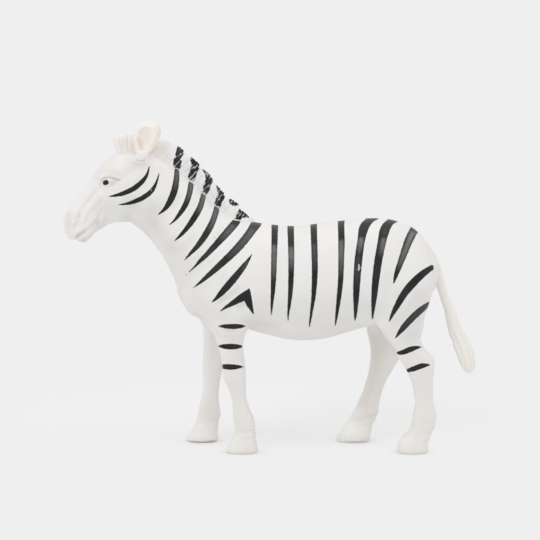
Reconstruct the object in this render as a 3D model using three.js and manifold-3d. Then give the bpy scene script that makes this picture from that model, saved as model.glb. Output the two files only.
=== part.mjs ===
// A toy zebra moulded in soft PVC, standing on its four hooves.
// Millimetres, +Z up. The head points to -X and the animal's left side to -Y.
// The torso is two glued shells. The neck, legs, ears and tail plug into sockets, and the
// mane sits in a slot along the crest.

import * as THREE from 'three';
import { mergeVertices } from 'three/addons/utils/BufferGeometryUtils.js';
import Module from 'manifold-3d';

const wasm = await Module();
wasm.setup();

// Fits
const glueGap = 0.3;
const pegClearance = 0.3;
const cutOverrun = 2;
const reachPastFigure = 400;

// Torso
const torsoLength = 89;
const barrelDepth = 39.3;
const barrelWidth = 34.6;
const bellyHeight = 37.25;
const shellWall = 2.6;
const locatingPinRadius = 1.5;
const locatingPinLength = 3.6;

// Neck and head
const neckLength = 34;
const neckDepth = 26;
const neckWidth = 26;
const neckRiseDegrees = 132;
const neckSeamTiltDegrees = 14.5;
const spigotRadius = 5;
const spigotLength = 8.5;
const collarRadius = 6.5;
const collarLength = 2;
const headLength = 41;
const headDepth = 22;
const headWidth = 17.4;
const headRiseDegrees = 43.7;
const eyeRadius = 1.45;
const nostrilLength = 3.4;
const mouthNotch = 2.4;

// Ears
const earHeight = 12.6;
const earWidth = 8.4;
const earThickness = 4.6;
const earSpan = 10;
const earWall = 1.2;
const earPegRadius = 1.3;
const earPegLength = 4;

// Mane
const maneHeight = 7.8;
const maneThickness = 5.2;
const maneTongueDepth = 2.6;
const maneTongueThickness = 2.2;
const maneLocks = 13;

// Tail
const tailDrop = 37;
const tailReach = 12;
const tailThickness = 5.8;
const tailWidth = 5.2;
const tailPegRadius = 1.25;
const tailPegLength = 6;

// Legs
const elbowAboveBelly = 3.2;
const stifleAboveBelly = 4.7;
const stanceWidth = 20;
const hipSpan = 14;
const forelegReach = 7;
const hindLegReach = 9.8;
const forelegPegRadius = 2.2;
const forelegPegLength = 7;
const hindPegRadius = 2.8;
const hindPegLength = 8;

// Depth along X and width along Y at each joint of a leg
const forelegSizes = {
  hoof: [10.2, 8.7],
  fetlock: [6.8, 6.2],
  cannon: [5.3, 5],
  knee: [7.4, 6.7],
  forearm: [9.5, 8.5],
  shoulder: [19, 13.2],
};
const hindLegSizes = {
  hoof: [10.4, 8.8],
  fetlock: [7.5, 6.4],
  cannon: [6.1, 5.3],
  hock: [12.1, 7.2],
  gaskin: [14.2, 10.8],
  thigh: [21.4, 14.4],
};

const elbowHeight = bellyHeight + elbowAboveBelly;
const stifleHeight = bellyHeight + stifleAboveBelly;

// Torso from chest to buttocks: along, belly line, back line, width
const torsoShares = [
  [0, 0.4, 0.43, 0.03],
  [0.013, 0.345, 0.58, 0.35],
  [0.044, 0.235, 0.73, 0.57],
  [0.09, 0.168, 0.86, 0.73],
  [0.155, 0.13, 1, 0.87],
  [0.242, 0.112, 1.035, 0.94],
  [0.331, 0.055, 1.005, 0.98],
  [0.444, 0, 0.983, 1],
  [0.556, 0.01, 1.011, 0.99],
  [0.646, 0.066, 1.035, 0.96],
  [0.736, 0.12, 1.052, 0.94],
  [0.815, 0.16, 1.04, 0.91],
  [0.888, 0.235, 0.984, 0.78],
  [0.938, 0.32, 0.89, 0.62],
  [0.972, 0.4, 0.782, 0.45],
  [0.994, 0.49, 0.705, 0.26],
  [1, 0.575, 0.61, 0.03],
];
const hollowShares = [0.29, 0.76];
const locatingPinShares = [
  [0.118, 0.33],
  [0.242, 0.91],
  [0.83, 0.88],
  [0.86, 0.42],
];

// Neck from the poll down into the torso: along, throat line, crest line, width
const neckShares = [
  [-0.118, 0.11, 0.29, 0.14],
  [-0.06, 0, 0.35, 0.48],
  [0.05, -0.23, 0.415, 0.56],
  [0.176, -0.395, 0.46, 0.58],
  [0.294, -0.465, 0.48, 0.6],
  [0.4, -0.442, 0.5, 0.63],
  [0.53, -0.437, 0.508, 0.68],
  [0.69, -0.45, 0.496, 0.76],
  [0.82, -0.488, 0.53, 0.82],
  [0.94, -0.53, 0.59, 0.89],
  [1.09, -0.6, 0.67, 0.96],
  [1.24, -0.6, 0.62, 1],
];
const neckBaseShares = [0.112, 0.763];
const neckSeamShare = 0.975;

// Head from the lips up to the poll: along, jaw line, nose line, width
const headShares = [
  [-0.015, -0.155, -0.055, 0.18],
  [0.015, -0.242, 0.055, 0.39],
  [0.05, -0.333, 0.132, 0.51],
  [0.1, -0.35, 0.178, 0.6],
  [0.17, -0.345, 0.21, 0.63],
  [0.256, -0.375, 0.232, 0.6],
  [0.34, -0.427, 0.258, 0.645],
  [0.44, -0.585, 0.29, 0.79],
  [0.537, -0.627, 0.333, 0.93],
  [0.634, -0.6, 0.352, 1],
  [0.73, -0.523, 0.322, 0.98],
  [0.83, -0.432, 0.21, 0.9],
  [0.927, -0.318, 0.01, 0.69],
  [0.976, -0.227, -0.136, 0.29],
];
const pollInHeadShares = [0.75, -0.2];
const eyeShares = [0.547, 0.2, 0.325];
const nostrilShares = [0.12, 0.165, 0.23];
const nostrilWidthShare = 0.45;
const mouthNotchShares = [0.02, -0.235];

// Legs from the sole up, for each joint's size: height, set back, share of the reach,
// depth, width, and how far the leg has drawn in from the stance to the hips
const leftForelegShares = [
  ['hoof', 0, -0.0225, 1, 1, 0.93, 0],
  ['hoof', 0.014, -0.0235, 1, 1.07, 1, 0],
  ['hoof', 0.088, -0.012, 1, 0.894, 0.92, 0],
  ['hoof', 0.135, 0.002, 0.98, 0.76, 0.8, 0],
  ['fetlock', 0.16, 0.0095, 0.97, 1.065, 1, 0],
  ['fetlock', 0.2, 0.01, 0.96, 1.06, 1, 0],
  ['fetlock', 0.29, 0.013, 0.88, 1.02, 1, 0],
  ['cannon', 0.36, 0.0075, 0.81, 1.095, 1.1, 0],
  ['cannon', 0.46, -0.0045, 0.75, 0.955, 1, 0],
  ['cannon', 0.54, -0.009, 0.69, 1.12, 1.08, 0],
  ['knee', 0.63, -0.019, 0.63, 1.035, 1, 0],
  ['knee', 0.71, -0.01, 0.55, 1.045, 1.02, 0],
  ['forearm', 0.83, -0.01, 0.45, 0.84, 0.86, 0],
];
const rightForelegShares = [
  ['hoof', 0, -0.0235, 1, 0.98, 0.93, 0],
  ['hoof', 0.022, -0.0235, 1, 1.12, 1, 0],
  ['hoof', 0.075, -0.008, 1, 0.965, 0.96, 0],
  ['hoof', 0.109, 0.004, 1, 0.896, 0.92, 0],
  ['hoof', 0.153, 0.016, 0.98, 0.8, 0.8, 0],
  ['fetlock', 0.178, 0.017, 0.97, 1.153, 1, 0],
  ['fetlock', 0.227, 0.026, 0.95, 1.147, 1, 0],
  ['fetlock', 0.305, 0.019, 0.88, 1.053, 1, 0],
  ['cannon', 0.373, 0.0113, 0.81, 1.14, 1.1, 0],
  ['cannon', 0.471, 0.0105, 0.75, 1.094, 1, 0],
  ['cannon', 0.55, 0.007, 0.69, 1.168, 1.08, 0],
  ['knee', 0.638, 0.004, 0.63, 0.98, 1, 0],
  ['knee', 0.716, 0.002, 0.55, 1.033, 1.02, 0],
  ['forearm', 0.834, -0.006, 0.45, 0.84, 0.86, 0],
];
const shoulderShares = [
  ['forearm', 0.93, -0.01, 0.36, 0.95, 0.95, 0],
  ['forearm', 1, -0.006, 0.31, 1.12, 1.1, 0],
  ['shoulder', 1.08, -0.002, 0.22, 0.78, 0.84, 0.05],
  ['shoulder', 1.2, 0, 0.08, 0.95, 0.96, 0.13],
  ['shoulder', 1.4, -0.02, 0, 1, 1, 0.14],
  ['shoulder', 1.6, -0.01, 0, 0.74, 0.86, 0.3],
  ['shoulder', 1.72, 0.005, 0, 0.4, 0.55, 0.77],
  ['shoulder', 1.775, 0.01, 0, 0.08, 0.1, 1],
];
const leftHindLegShares = [
  ['hoof', 0, -0.11, 1, 0.93, 0.93, 0],
  ['hoof', 0.014, -0.11, 1, 1, 1, 0],
  ['hoof', 0.09, -0.102, 1, 0.988, 0.95, 0],
  ['hoof', 0.145, -0.065, 0.99, 0.867, 0.82, 0],
  ['fetlock', 0.173, -0.044, 0.98, 1.08, 0.95, 0],
  ['fetlock', 0.25, -0.01, 0.95, 1.1, 1, 0],
  ['fetlock', 0.325, 0.0056, 0.92, 1.037, 0.94, 0],
  ['cannon', 0.41, 0.014, 0.86, 1.02, 1.02, 0],
  ['cannon', 0.48, 0.0248, 0.79, 1.066, 1, 0],
  ['cannon', 0.56, 0.0374, 0.7, 1.15, 1.06, 0],
  ['hock', 0.68, 0.0536, 0.54, 0.793, 0.92, 0],
  ['hock', 0.77, 0.048, 0.43, 0.983, 1, 0],
  ['hock', 0.843, 0.016, 0.32, 0.887, 1.08, 0],
  ['gaskin', 0.935, -0.003, 0.17, 0.86, 0.88, 0],
  ['gaskin', 1, 0, 0.12, 1.03, 1.03, 0],
];
const rightHindLegShares = [
  ['hoof', 0, -0.105, 1, 0.98, 0.93, 0],
  ['hoof', 0.022, -0.105, 1, 1.12, 1, 0],
  ['hoof', 0.109, -0.077, 1, 0.988, 0.95, 0],
  ['hoof', 0.163, -0.055, 0.99, 0.896, 0.82, 0],
  ['fetlock', 0.19, -0.037, 0.98, 1.18, 0.95, 0],
  ['fetlock', 0.266, -0.009, 0.95, 1.107, 1, 0],
  ['fetlock', 0.339, 0.004, 0.92, 0.97, 0.94, 0],
  ['cannon', 0.422, 0.0193, 0.86, 1.095, 1.02, 0],
  ['cannon', 0.491, 0.026, 0.79, 1.125, 1, 0],
  ['cannon', 0.569, 0.037, 0.7, 1.27, 1.06, 0],
  ['hock', 0.687, 0.0433, 0.54, 0.826, 0.92, 0],
  ['hock', 0.775, 0.0436, 0.43, 1.025, 1, 0],
  ['hock', 0.846, 0.0063, 0.32, 1.028, 1.08, 0],
  ['gaskin', 0.936, -0.027, 0.17, 1, 0.88, 0],
  ['gaskin', 1, -0.0145, 0.12, 1.114, 1.03, 0],
];
const thighShares = [
  ['thigh', 1.12, 0, 0.03, 0.83, 0.9, 0.07],
  ['thigh', 1.25, 0.02, 0, 0.96, 1, 0.21],
  ['thigh', 1.45, 0.05, 0, 0.98, 1, 0.37],
  ['thigh', 1.61, 0.065, 0, 0.75, 0.86, 0.7],
  ['thigh', 1.735, 0.07, 0, 0.45, 0.58, 1.09],
  ['thigh', 1.795, 0.06, 0, 0.09, 0.12, 1.4],
];
const forelegPlaceShare = 0.179;
const hindLegPlaceShare = 0.839;

// Ear from its foot to its tip: height, set back, width, thickness
const earShares = [
  [-0.1, -0.215, 0.42, 0.6],
  [0.03, -0.2, 0.4, 0.66],
  [0.135, -0.153, 0.467, 0.8],
  [0.295, -0.072, 0.71, 1],
  [0.51, 0, 0.934, 1],
  [0.73, 0.028, 1, 0.88],
  [0.89, 0.032, 0.853, 0.65],
  [0.96, 0.02, 0.564, 0.45],
  [1, 0, 0.16, 0.16],
];
const earBowlShares = [
  [0.22, -0.22, 0.1, 0.3],
  [0.35, -0.18, 0.338, 0.75],
  [0.51, -0.0925, 0.58, 1],
  [0.675, -0.044, 0.7, 1],
  [0.825, -0.032, 0.66, 0.85],
  [0.925, -0.02, 0.2, 0.3],
];
const earPlaceShares = [0.904, -0.081];
const earSplayShare = 0.12;

// Foot of the mane on each piece that carries it: along, up, then the hair's height
const maneShares = [
  ['head', 0.755, 0.294, 0.64],
  ['head', 0.785, 0.265, 0.75],
  ['head', 0.83, 0.21, 0.74],
  ['head', 0.87, 0.15, 0.79],
  ['neck', -0.1, 0.27, 0.82],
  ['neck', 0.02, 0.4, 0.8],
  ['neck', 0.2, 0.468, 0.75],
  ['neck', 0.4, 0.5, 0.71],
  ['neck', 0.58, 0.505, 0.66],
  ['neck', 0.74, 0.51, 0.6],
  ['neck', 0.89, 0.57, 0.46],
  ['torso', 0.262, 1.045, 0.22],
  ['torso', 0.292, 1.035, 0.08],
];
const maneTipShare = 0.34;
const maneRidgeShare = 0.2;
const maneNotchShare = 0.06;
const tongueEndShares = [0.06, 0.9];

// Tail from its root: reach, drop, thickness, width
const tailRootShares = [0.985, 0.64];
const tailShares = [
  [0, 0, 0.56, 0.62],
  [0.09, 0.06, 0.55, 0.62],
  [0.16, 0.165, 0.54, 0.6],
  [0.285, 0.292, 0.57, 0.63],
  [0.425, 0.409, 0.66, 0.71],
  [0.54, 0.535, 0.82, 0.84],
  [0.63, 0.623, 0.94, 0.95],
  [0.75, 0.71, 1.03, 1],
  [0.875, 0.81, 1.07, 1.02],
  [0.965, 0.905, 0.95, 0.9],
  [1, 0.972, 0.56, 0.54],
  [1.01, 1, 0.12, 0.12],
];
const tailPegStartShares = [0.14, 0.12];
const tailPegSlopeDegrees = 150;
const tailFluteShare = 0.1;
const tailFlutes = 6;
const tailFluteStartShare = 0.45;

// Facets
const torsoSides = 28;
const torsoStations = 26;
const neckSides = 22;
const neckStations = 15;
const headSides = 20;
const headStations = 20;
const legSides = 14;
const legStations = 29;
const pegSides = 10;
const tailSides = 18;
const tailStations = 24;
const earSides = [14, 10];
const earStations = [10, 7];
const fullness = 2.25;

function smoothRows(rows, count) {
  const last = rows.length - 1;
  const smooth = [];
  for (let i = 0; i < count; i += 1) {
    const place = (i / (count - 1)) * last;
    const from = Math.min(Math.floor(place), last - 1);
    const t = place - from;
    const near = [from - 1, from, from + 1, from + 2].map((n) => rows[Math.min(Math.max(n, 0), last)]);
    smooth.push(near[1].map((_, column) => {
      const [a, b, c, d] = near.map((row) => row[column]);
      const bend = (2 * a - 5 * b + 4 * c - d) * t * t + (3 * b - a - 3 * c + d) * t * t * t;
      return b + ((c - a) * t + bend) / 2;
    }));
  }
  return smooth;
}

function rounded(value) {
  return Math.sign(value) * Math.abs(value) ** (2 / fullness);
}

// One section: an oval with half sizes deep and wide, both vectors
function oval(centre, deep, wide, sides, swell = () => 1) {
  return Array.from({ length: sides }, (_, i) => {
    const turn = (i / sides) * 2 * Math.PI;
    return centre.clone()
      .addScaledVector(deep, rounded(Math.cos(turn)) * swell(turn))
      .addScaledVector(wide, rounded(Math.sin(turn)) * swell(turn));
  });
}

function middle(points) {
  const sum = points.reduce((total, point) => total.add(point), new THREE.Vector3());
  return sum.divideScalar(points.length);
}

// A closed skin over a run of sections with equal numbers of points
function loft(rings) {
  const sides = rings[0].length;
  const points = [...rings.flat(), middle(rings[0]), middle(rings[rings.length - 1])];
  const firstCap = points.length - 2;
  const lastRing = (rings.length - 1) * sides;
  const faces = [];
  for (let j = 0; j < sides; j += 1) {
    const next = (j + 1) % sides;
    for (let i = 0; i < rings.length - 1; i += 1) {
      const [a, b] = [i * sides + j, i * sides + next];
      faces.push(a, b, b + sides, a, b + sides, a + sides);
    }
    faces.push(firstCap, next, j);
    faces.push(firstCap + 1, lastRing + j, lastRing + next);
  }
  const geometry = new THREE.BufferGeometry().setFromPoints(points);
  geometry.setIndex(faces);
  return solid(geometry);
}

function signedVolume(position, index) {
  const corner = [new THREE.Vector3(), new THREE.Vector3(), new THREE.Vector3()];
  let volume = 0;
  for (let i = 0; i < index.length; i += 3) {
    corner.forEach((point, k) => point.fromBufferAttribute(position, index[i + k]));
    volume += corner[0].dot(corner[1].cross(corner[2]));
  }
  return volume;
}

function solid(geometry) {
  const bare = geometry.clone();
  bare.deleteAttribute('normal');
  bare.deleteAttribute('uv');
  const merged = mergeVertices(bare);
  const position = merged.getAttribute('position');
  const triVerts = Uint32Array.from(merged.index.array);
  if (signedVolume(position, triVerts) < 0) triVerts.reverse();
  const vertProperties = Float32Array.from(position.array);
  return new wasm.Manifold(new wasm.Mesh({ numProp: 3, vertProperties, triVerts }));
}

function joined(solids) {
  return solids.reduce((total, next) => total.add(next));
}

// A side view's frame: an origin, a direction along the piece and one across it
function sideFrame(origin, degrees, length, depth) {
  const turn = THREE.MathUtils.degToRad(degrees);
  const along = new THREE.Vector3(Math.cos(turn), 0, Math.sin(turn));
  const across = new THREE.Vector3(-Math.sin(turn), 0, Math.cos(turn));
  const at = (alongShare, acrossShare) => origin.clone()
    .addScaledVector(along, alongShare * length)
    .addScaledVector(across, acrossShare * depth);
  return { along, across, at };
}

function bodyLoft(frame, rows, width, stations, sides, grow = 0) {
  const sideways = new THREE.Vector3(0, 1, 0);
  return loft(smoothRows(rows, stations).map(([alongShare, low, high, widthShare]) => {
    const [under, over] = [frame.at(alongShare, low), frame.at(alongShare, high)];
    const deep = over.clone().sub(under).divideScalar(2);
    deep.setLength(deep.length() + grow);
    const wide = sideways.clone().multiplyScalar((widthShare * width) / 2 + grow);
    return oval(under.add(over).divideScalar(2), deep, wide, sides);
  }));
}

function rod(from, to, radius, sides = pegSides) {
  const length = from.distanceTo(to);
  const geometry = new THREE.CylinderGeometry(radius, radius, length, sides);
  const up = new THREE.Vector3(0, 1, 0);
  const turn = new THREE.Quaternion().setFromUnitVectors(up, to.clone().sub(from).normalize());
  geometry.applyQuaternion(turn);
  const centre = from.clone().add(to).divideScalar(2);
  geometry.translate(centre.x, centre.y, centre.z);
  return solid(geometry);
}

// Everything on one side of a plane, as a block that reaches past the figure
function halfSpace(point, outward) {
  const geometry = new THREE.BoxGeometry(reachPastFigure, reachPastFigure, reachPastFigure);
  geometry.translate(0, 0, reachPastFigure / 2);
  const up = new THREE.Vector3(0, 0, 1);
  geometry.applyQuaternion(new THREE.Quaternion().setFromUnitVectors(up, outward));
  geometry.translate(point.x, point.y, point.z);
  return solid(geometry);
}

const torsoFrame = sideFrame(new THREE.Vector3(0, 0, bellyHeight), 0, torsoLength, barrelDepth);
const neckBase = torsoFrame.at(...neckBaseShares);
const neckRise = THREE.MathUtils.degToRad(neckRiseDegrees);
const poll = neckBase.clone()
  .add(new THREE.Vector3(Math.cos(neckRise), 0, Math.sin(neckRise)).multiplyScalar(neckLength));
const neckFrame = sideFrame(poll, neckRiseDegrees - 180, neckLength, neckDepth);
const headAtOrigin = sideFrame(new THREE.Vector3(), headRiseDegrees, headLength, headDepth);
const muzzle = poll.clone().sub(headAtOrigin.at(...pollInHeadShares));
const headFrame = sideFrame(muzzle, headRiseDegrees, headLength, headDepth);
const frames = { torso: torsoFrame, neck: neckFrame, head: headFrame };

const neckSeam = neckFrame.at(neckSeamShare, 0);
const neckSeamTurn = THREE.MathUtils.degToRad(neckRiseDegrees + neckSeamTiltDegrees);
const neckSeamUp = new THREE.Vector3(Math.cos(neckSeamTurn), 0, Math.sin(neckSeamTurn));

function torsoForm(grow = 0) {
  return bodyLoft(torsoFrame, torsoShares, barrelWidth, torsoStations, torsoSides, grow);
}

function neckForm(grow = 0) {
  return bodyLoft(neckFrame, neckShares, neckWidth, neckStations, neckSides, grow);
}

function headForm(grow = 0) {
  return bodyLoft(headFrame, headShares, headWidth, headStations, headSides, grow);
}

function legForm(leg) {
  const rows = leg.shares.map(([joint, up, back, swing, depth, width, drawnIn]) => [
    leg.place.x + back * leg.height + swing * leg.reach,
    leg.side * (stanceWidth + (hipSpan - stanceWidth) * drawnIn) / 2,
    up * leg.height,
    (depth * leg.sizes[joint][0]) / 2,
    (width * leg.sizes[joint][1]) / 2,
  ]);
  return loft(smoothRows(rows, legStations).map(([x, y, z, depth, width]) => oval(
    new THREE.Vector3(x, y, z),
    new THREE.Vector3(depth, 0, 0),
    new THREE.Vector3(0, width, 0),
    legSides,
  )));
}

function makeLeg(name, side, place, height, reach, shares, sizes, pegRadius, pegLength) {
  const leg = { name, side, place, height, reach, shares, sizes, pegRadius, pegLength };
  const [, , back, swing, , , drawnIn] = shares.find((row) => row[1] === 1);
  leg.form = legForm(leg);
  leg.seam = new THREE.Vector3(
    place.x + back * height + swing * reach,
    (side * (stanceWidth + (hipSpan - stanceWidth) * drawnIn)) / 2,
    height,
  );
  return leg;
}

const forelegPlace = torsoFrame.at(forelegPlaceShare, 0);
const hindLegPlace = torsoFrame.at(hindLegPlaceShare, 0);
const fore = [forelegPlace, elbowHeight];
const hind = [hindLegPlace, stifleHeight];
const forePeg = [forelegSizes, forelegPegRadius, forelegPegLength];
const hindPeg = [hindLegSizes, hindPegRadius, hindPegLength];
const leftFore = [...leftForelegShares, ...shoulderShares];
const rightFore = [...rightForelegShares, ...shoulderShares];
const leftHind = [...leftHindLegShares, ...thighShares];
const rightHind = [...rightHindLegShares, ...thighShares];
const legs = [
  makeLeg('left_foreleg', -1, ...fore, forelegReach, leftFore, ...forePeg),
  makeLeg('right_foreleg', 1, ...fore, -forelegReach, rightFore, ...forePeg),
  makeLeg('left_hind_leg', -1, ...hind, hindLegReach, leftHind, ...hindPeg),
  makeLeg('right_hind_leg', 1, ...hind, -hindLegReach, rightHind, ...hindPeg),
];

const upward = new THREE.Vector3(0, 0, 1);
const downward = new THREE.Vector3(0, 0, -1);

// A peg that stands on a leg's seam, or its socket when it is grown
function legPeg(leg, grow = 0) {
  const from = leg.seam.clone().addScaledVector(downward, cutOverrun);
  const to = leg.seam.clone().addScaledVector(upward, leg.pegLength + grow);
  return rod(from, to, leg.pegRadius + grow);
}

function legPiece(leg) {
  const top = leg.seam.clone().addScaledVector(downward, glueGap / 2);
  const lower = leg.form.subtract(halfSpace(top, upward));
  return lower.subtract(torsoForm(glueGap)).add(legPeg(leg));
}

function legStump(leg) {
  const foot = leg.seam.clone().addScaledVector(upward, glueGap / 2);
  return leg.form.subtract(halfSpace(foot, downward));
}

// The neck's spigot and its collar, which the two torso shells close around
function spigot(grow = 0) {
  const from = neckSeam.clone().addScaledVector(neckSeamUp, cutOverrun);
  const to = neckSeam.clone().addScaledVector(neckSeamUp, -spigotLength - grow);
  const collarFrom = to.clone().addScaledVector(neckSeamUp, collarLength + 2 * grow);
  const neck = rod(from, to, spigotRadius + grow, 2 * pegSides);
  return neck.add(rod(collarFrom, to, collarRadius + grow, 2 * pegSides));
}

function maneLine() {
  return smoothRows(maneShares.map(([carrier, alongShare, upShare, heightShare]) => {
    const foot = frames[carrier].at(alongShare, upShare);
    return [foot.x, foot.z, heightShare * maneHeight];
  }), 3 * maneLocks + 1);
}

// Sections square to the foot of the mane, each between two heights above it
function maneRings(stations, low, high, halfBelow, halfAbove) {
  return stations.map(([x, z], i) => {
    const before = stations[Math.max(i - 1, 0)];
    const after = stations[Math.min(i + 1, stations.length - 1)];
    const run = new THREE.Vector3(after[0] - before[0], 0, after[1] - before[1]).normalize();
    const rise = new THREE.Vector3(-run.z, 0, run.x);
    const corner = (up, y) => new THREE.Vector3(x, y, z).addScaledVector(rise, up);
    const [foot, tip, below, above] = [low(i), high(i), halfBelow(i), halfAbove(i)];
    const shoulder = THREE.MathUtils.lerp(foot, tip, 1 - maneTipShare);
    const topLine = [corner(tip, above / 2), corner(tip, -above / 2)];
    return [
      corner(foot, -below), corner(foot, below), corner(shoulder, above + (below - above) / 2),
      ...topLine, corner(shoulder, -above - (below - above) / 2),
    ];
  });
}

function maneHair() {
  const stations = maneLine();
  const lockWave = (i) => (i % 3 === 0 ? 1 : 0);
  const tip = (i) => stations[i][2] * (1 - maneNotchShare * lockWave(i));
  const half = (i) => (maneThickness / 2) * (1 - maneRidgeShare * lockWave(i));
  const sink = () => -maneTongueDepth / 2;
  const halfTip = (i) => half(i) * maneTipShare;
  return loft(maneRings(stations, sink, tip, half, halfTip));
}

function maneTongue(grow = 0) {
  const stations = maneLine();
  const [first, last] = tongueEndShares.map((share) => Math.round(share * (stations.length - 1)));
  const kept = stations.slice(first, last + 1);
  const foot = () => -maneTongueDepth - grow;
  const top = () => maneTongueDepth / 2;
  const half = () => maneTongueThickness / 2 + grow;
  return loft(maneRings(kept, foot, top, half, half));
}

function earFrame(side) {
  const place = headFrame.at(...earPlaceShares);
  return new THREE.Vector3(place.x, (side * earSpan) / 2, place.z);
}

function earLoft(side, rows, outward, sides, stations) {
  const place = earFrame(side);
  return loft(smoothRows(rows, stations).map(([up, back, width, thickness]) => oval(
    place.clone().add(new THREE.Vector3(
      back * earWidth,
      side * (up * earHeight * earSplayShare + outward),
      up * earHeight,
    )),
    new THREE.Vector3((width * earWidth) / 2, 0, 0),
    new THREE.Vector3(0, (thickness * earThickness) / 2, 0),
    sides,
  )));
}

function earPeg(side, grow = 0) {
  const place = earFrame(side);
  place.x += earShares[0][1] * earWidth;
  const from = place.clone().addScaledVector(upward, cutOverrun);
  const to = place.clone().addScaledVector(downward, earPegLength + grow);
  return rod(from, to, earPegRadius + grow);
}

function ear(side) {
  const [shellSides, bowlSides] = earSides;
  const [shellStations, bowlStations] = earStations;
  const bowl = earLoft(side, earBowlShares, (earWall + earThickness) / 2, bowlSides, bowlStations);
  const shell = earLoft(side, earShares, 0, shellSides, shellStations).subtract(bowl);
  return shell.subtract(joined([headForm(glueGap), neckForm(glueGap)])).add(earPeg(side));
}

const tailRoot = torsoFrame.at(...tailRootShares);

function tailForm() {
  const stations = smoothRows(tailShares, tailStations);
  const points = stations.map(([reach, drop]) => tailPoint(reach, drop));
  return loft(stations.map(([, drop, thickness, width], i) => {
    const before = points[Math.max(i - 1, 0)];
    const after = points[Math.min(i + 1, points.length - 1)];
    const run = after.clone().sub(before).normalize();
    const square = new THREE.Vector3(-run.z, 0, run.x);
    const combed = Math.min(Math.max(drop - tailFluteStartShare, 0) / tailFluteStartShare, 1);
    const flute = (turn) => 1 - tailFluteShare * combed * (1 + Math.cos(turn * tailFlutes)) / 2;
    const deep = square.multiplyScalar((thickness * tailThickness) / 2);
    const wide = new THREE.Vector3(0, (width * tailWidth) / 2, 0);
    return oval(points[i], deep, wide, tailSides, flute);
  }));
}

function tailPoint(reachShare, dropShare) {
  return new THREE.Vector3(
    tailRoot.x + reachShare * tailReach,
    0,
    tailRoot.z - dropShare * tailDrop,
  );
}

function tailPeg(grow = 0) {
  const turn = THREE.MathUtils.degToRad(tailPegSlopeDegrees);
  const inward = new THREE.Vector3(Math.cos(turn), 0, Math.sin(turn));
  const from = tailPoint(...tailPegStartShares);
  const to = from.clone().addScaledVector(inward, tailPegLength + grow);
  return rod(from, to, tailPegRadius + grow);
}

function tail() {
  return tailForm().subtract(torsoForm(glueGap)).add(tailPeg());
}

function mane() {
  const carriers = joined([headForm(glueGap), neckForm(glueGap), torsoForm(glueGap)]);
  return maneHair().subtract(carriers).add(maneTongue());
}

function eyeball(side) {
  const [alongShare, upShare, outShare] = eyeShares;
  const geometry = new THREE.SphereGeometry(eyeRadius, 12, 8);
  const place = headFrame.at(alongShare, upShare);
  geometry.translate(place.x, side * outShare * headWidth, place.z);
  return solid(geometry);
}

function nostril(side) {
  const [alongShare, upShare, outShare] = nostrilShares;
  const geometry = new THREE.SphereGeometry(nostrilLength / 2, 10, 8);
  geometry.scale(nostrilWidthShare, nostrilWidthShare, 1);
  const place = headFrame.at(alongShare, upShare);
  geometry.translate(place.x, side * outShare * headWidth, place.z);
  return solid(geometry);
}

// The cleft between the upper lip and the chin
function mouthCleft() {
  const notch = new THREE.CylinderGeometry(mouthNotch / 2, mouthNotch / 2, headWidth, 3);
  const place = headFrame.at(...mouthNotchShares);
  notch.translate(place.x, 0, place.z);
  return solid(notch);
}

const bothSides = [-1, 1];

function headAndNeck() {
  const base = neckSeam.clone().addScaledVector(neckSeamUp, glueGap / 2);
  const whole = joined([neckForm(), headForm(), ...bothSides.map(eyeball)]);
  const cut = whole.subtract(halfSpace(base, neckSeamUp.clone().negate()));
  const sockets = bothSides.map((side) => earPeg(side, pegClearance));
  const recesses = [...sockets, ...bothSides.map(nostril), mouthCleft()];
  return cut.add(spigot()).subtract(joined([maneTongue(pegClearance), ...recesses]));
}

// The space inside the barrel, left when both shells are moulded to one wall
function barrelHollow() {
  const [first, last] = hollowShares;
  const rows = smoothRows(torsoShares, torsoStations).filter((row) => row[0] > first && row[0] < last);
  return bodyLoft(torsoFrame, rows, barrelWidth, rows.length, torsoSides, -shellWall);
}

function locatingPin(alongShare, upShare, grow = 0) {
  const place = torsoFrame.at(alongShare, upShare);
  const half = new THREE.Vector3(0, locatingPinLength + grow, 0);
  return rod(place.clone().sub(half), place.clone().add(half), locatingPinRadius + grow);
}

function wholeTorso() {
  const shoulder = neckSeam.clone().addScaledVector(neckSeamUp, -glueGap / 2);
  const stump = neckForm().subtract(halfSpace(shoulder, neckSeamUp));
  const barrel = torsoForm().subtract(halfSpace(shoulder, neckSeamUp));
  const form = joined([barrel, stump, ...legs.map(legStump)]);
  const sockets = [...legs.map((leg) => legPeg(leg, pegClearance)), spigot(pegClearance)];
  return form.subtract(joined([
    ...sockets, barrelHollow(), tailPeg(pegClearance), maneTongue(pegClearance),
  ]));
}

function torsoShell(side) {
  const face = new THREE.Vector3(0, (side * glueGap) / 2, 0);
  const half = wholeTorso().subtract(halfSpace(face, new THREE.Vector3(0, -side, 0)));
  const pins = locatingPinShares.map(([alongShare, upShare]) => (
    locatingPin(alongShare, upShare, side > 0 ? pegClearance : 0)
  ));
  return side > 0 ? half.subtract(joined(pins)) : half.add(joined(pins));
}

const whitePvc = { color: '#e8e6e4', roughness: 0.5, metalness: 0 };

function piece(name, form) {
  const { numProp, vertProperties, triVerts } = form.getMesh();
  const geometry = new THREE.BufferGeometry();
  geometry.setAttribute('position', new THREE.BufferAttribute(vertProperties, numProp));
  geometry.setIndex(new THREE.BufferAttribute(triVerts, 1));
  geometry.computeVertexNormals();
  const mesh = new THREE.Mesh(geometry, new THREE.MeshStandardMaterial(whitePvc));
  mesh.name = name;
  return mesh;
}

const zebra = new THREE.Group();
zebra.add(
  piece('torso_left_shell', torsoShell(-1)),
  piece('torso_right_shell', torsoShell(1)),
  piece('head_and_neck', headAndNeck()),
  piece('mane', mane()),
  piece('left_ear', ear(-1)),
  piece('right_ear', ear(1)),
  ...legs.map((leg) => piece(leg.name, legPiece(leg))),
  piece('tail', tail()),
);

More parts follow.
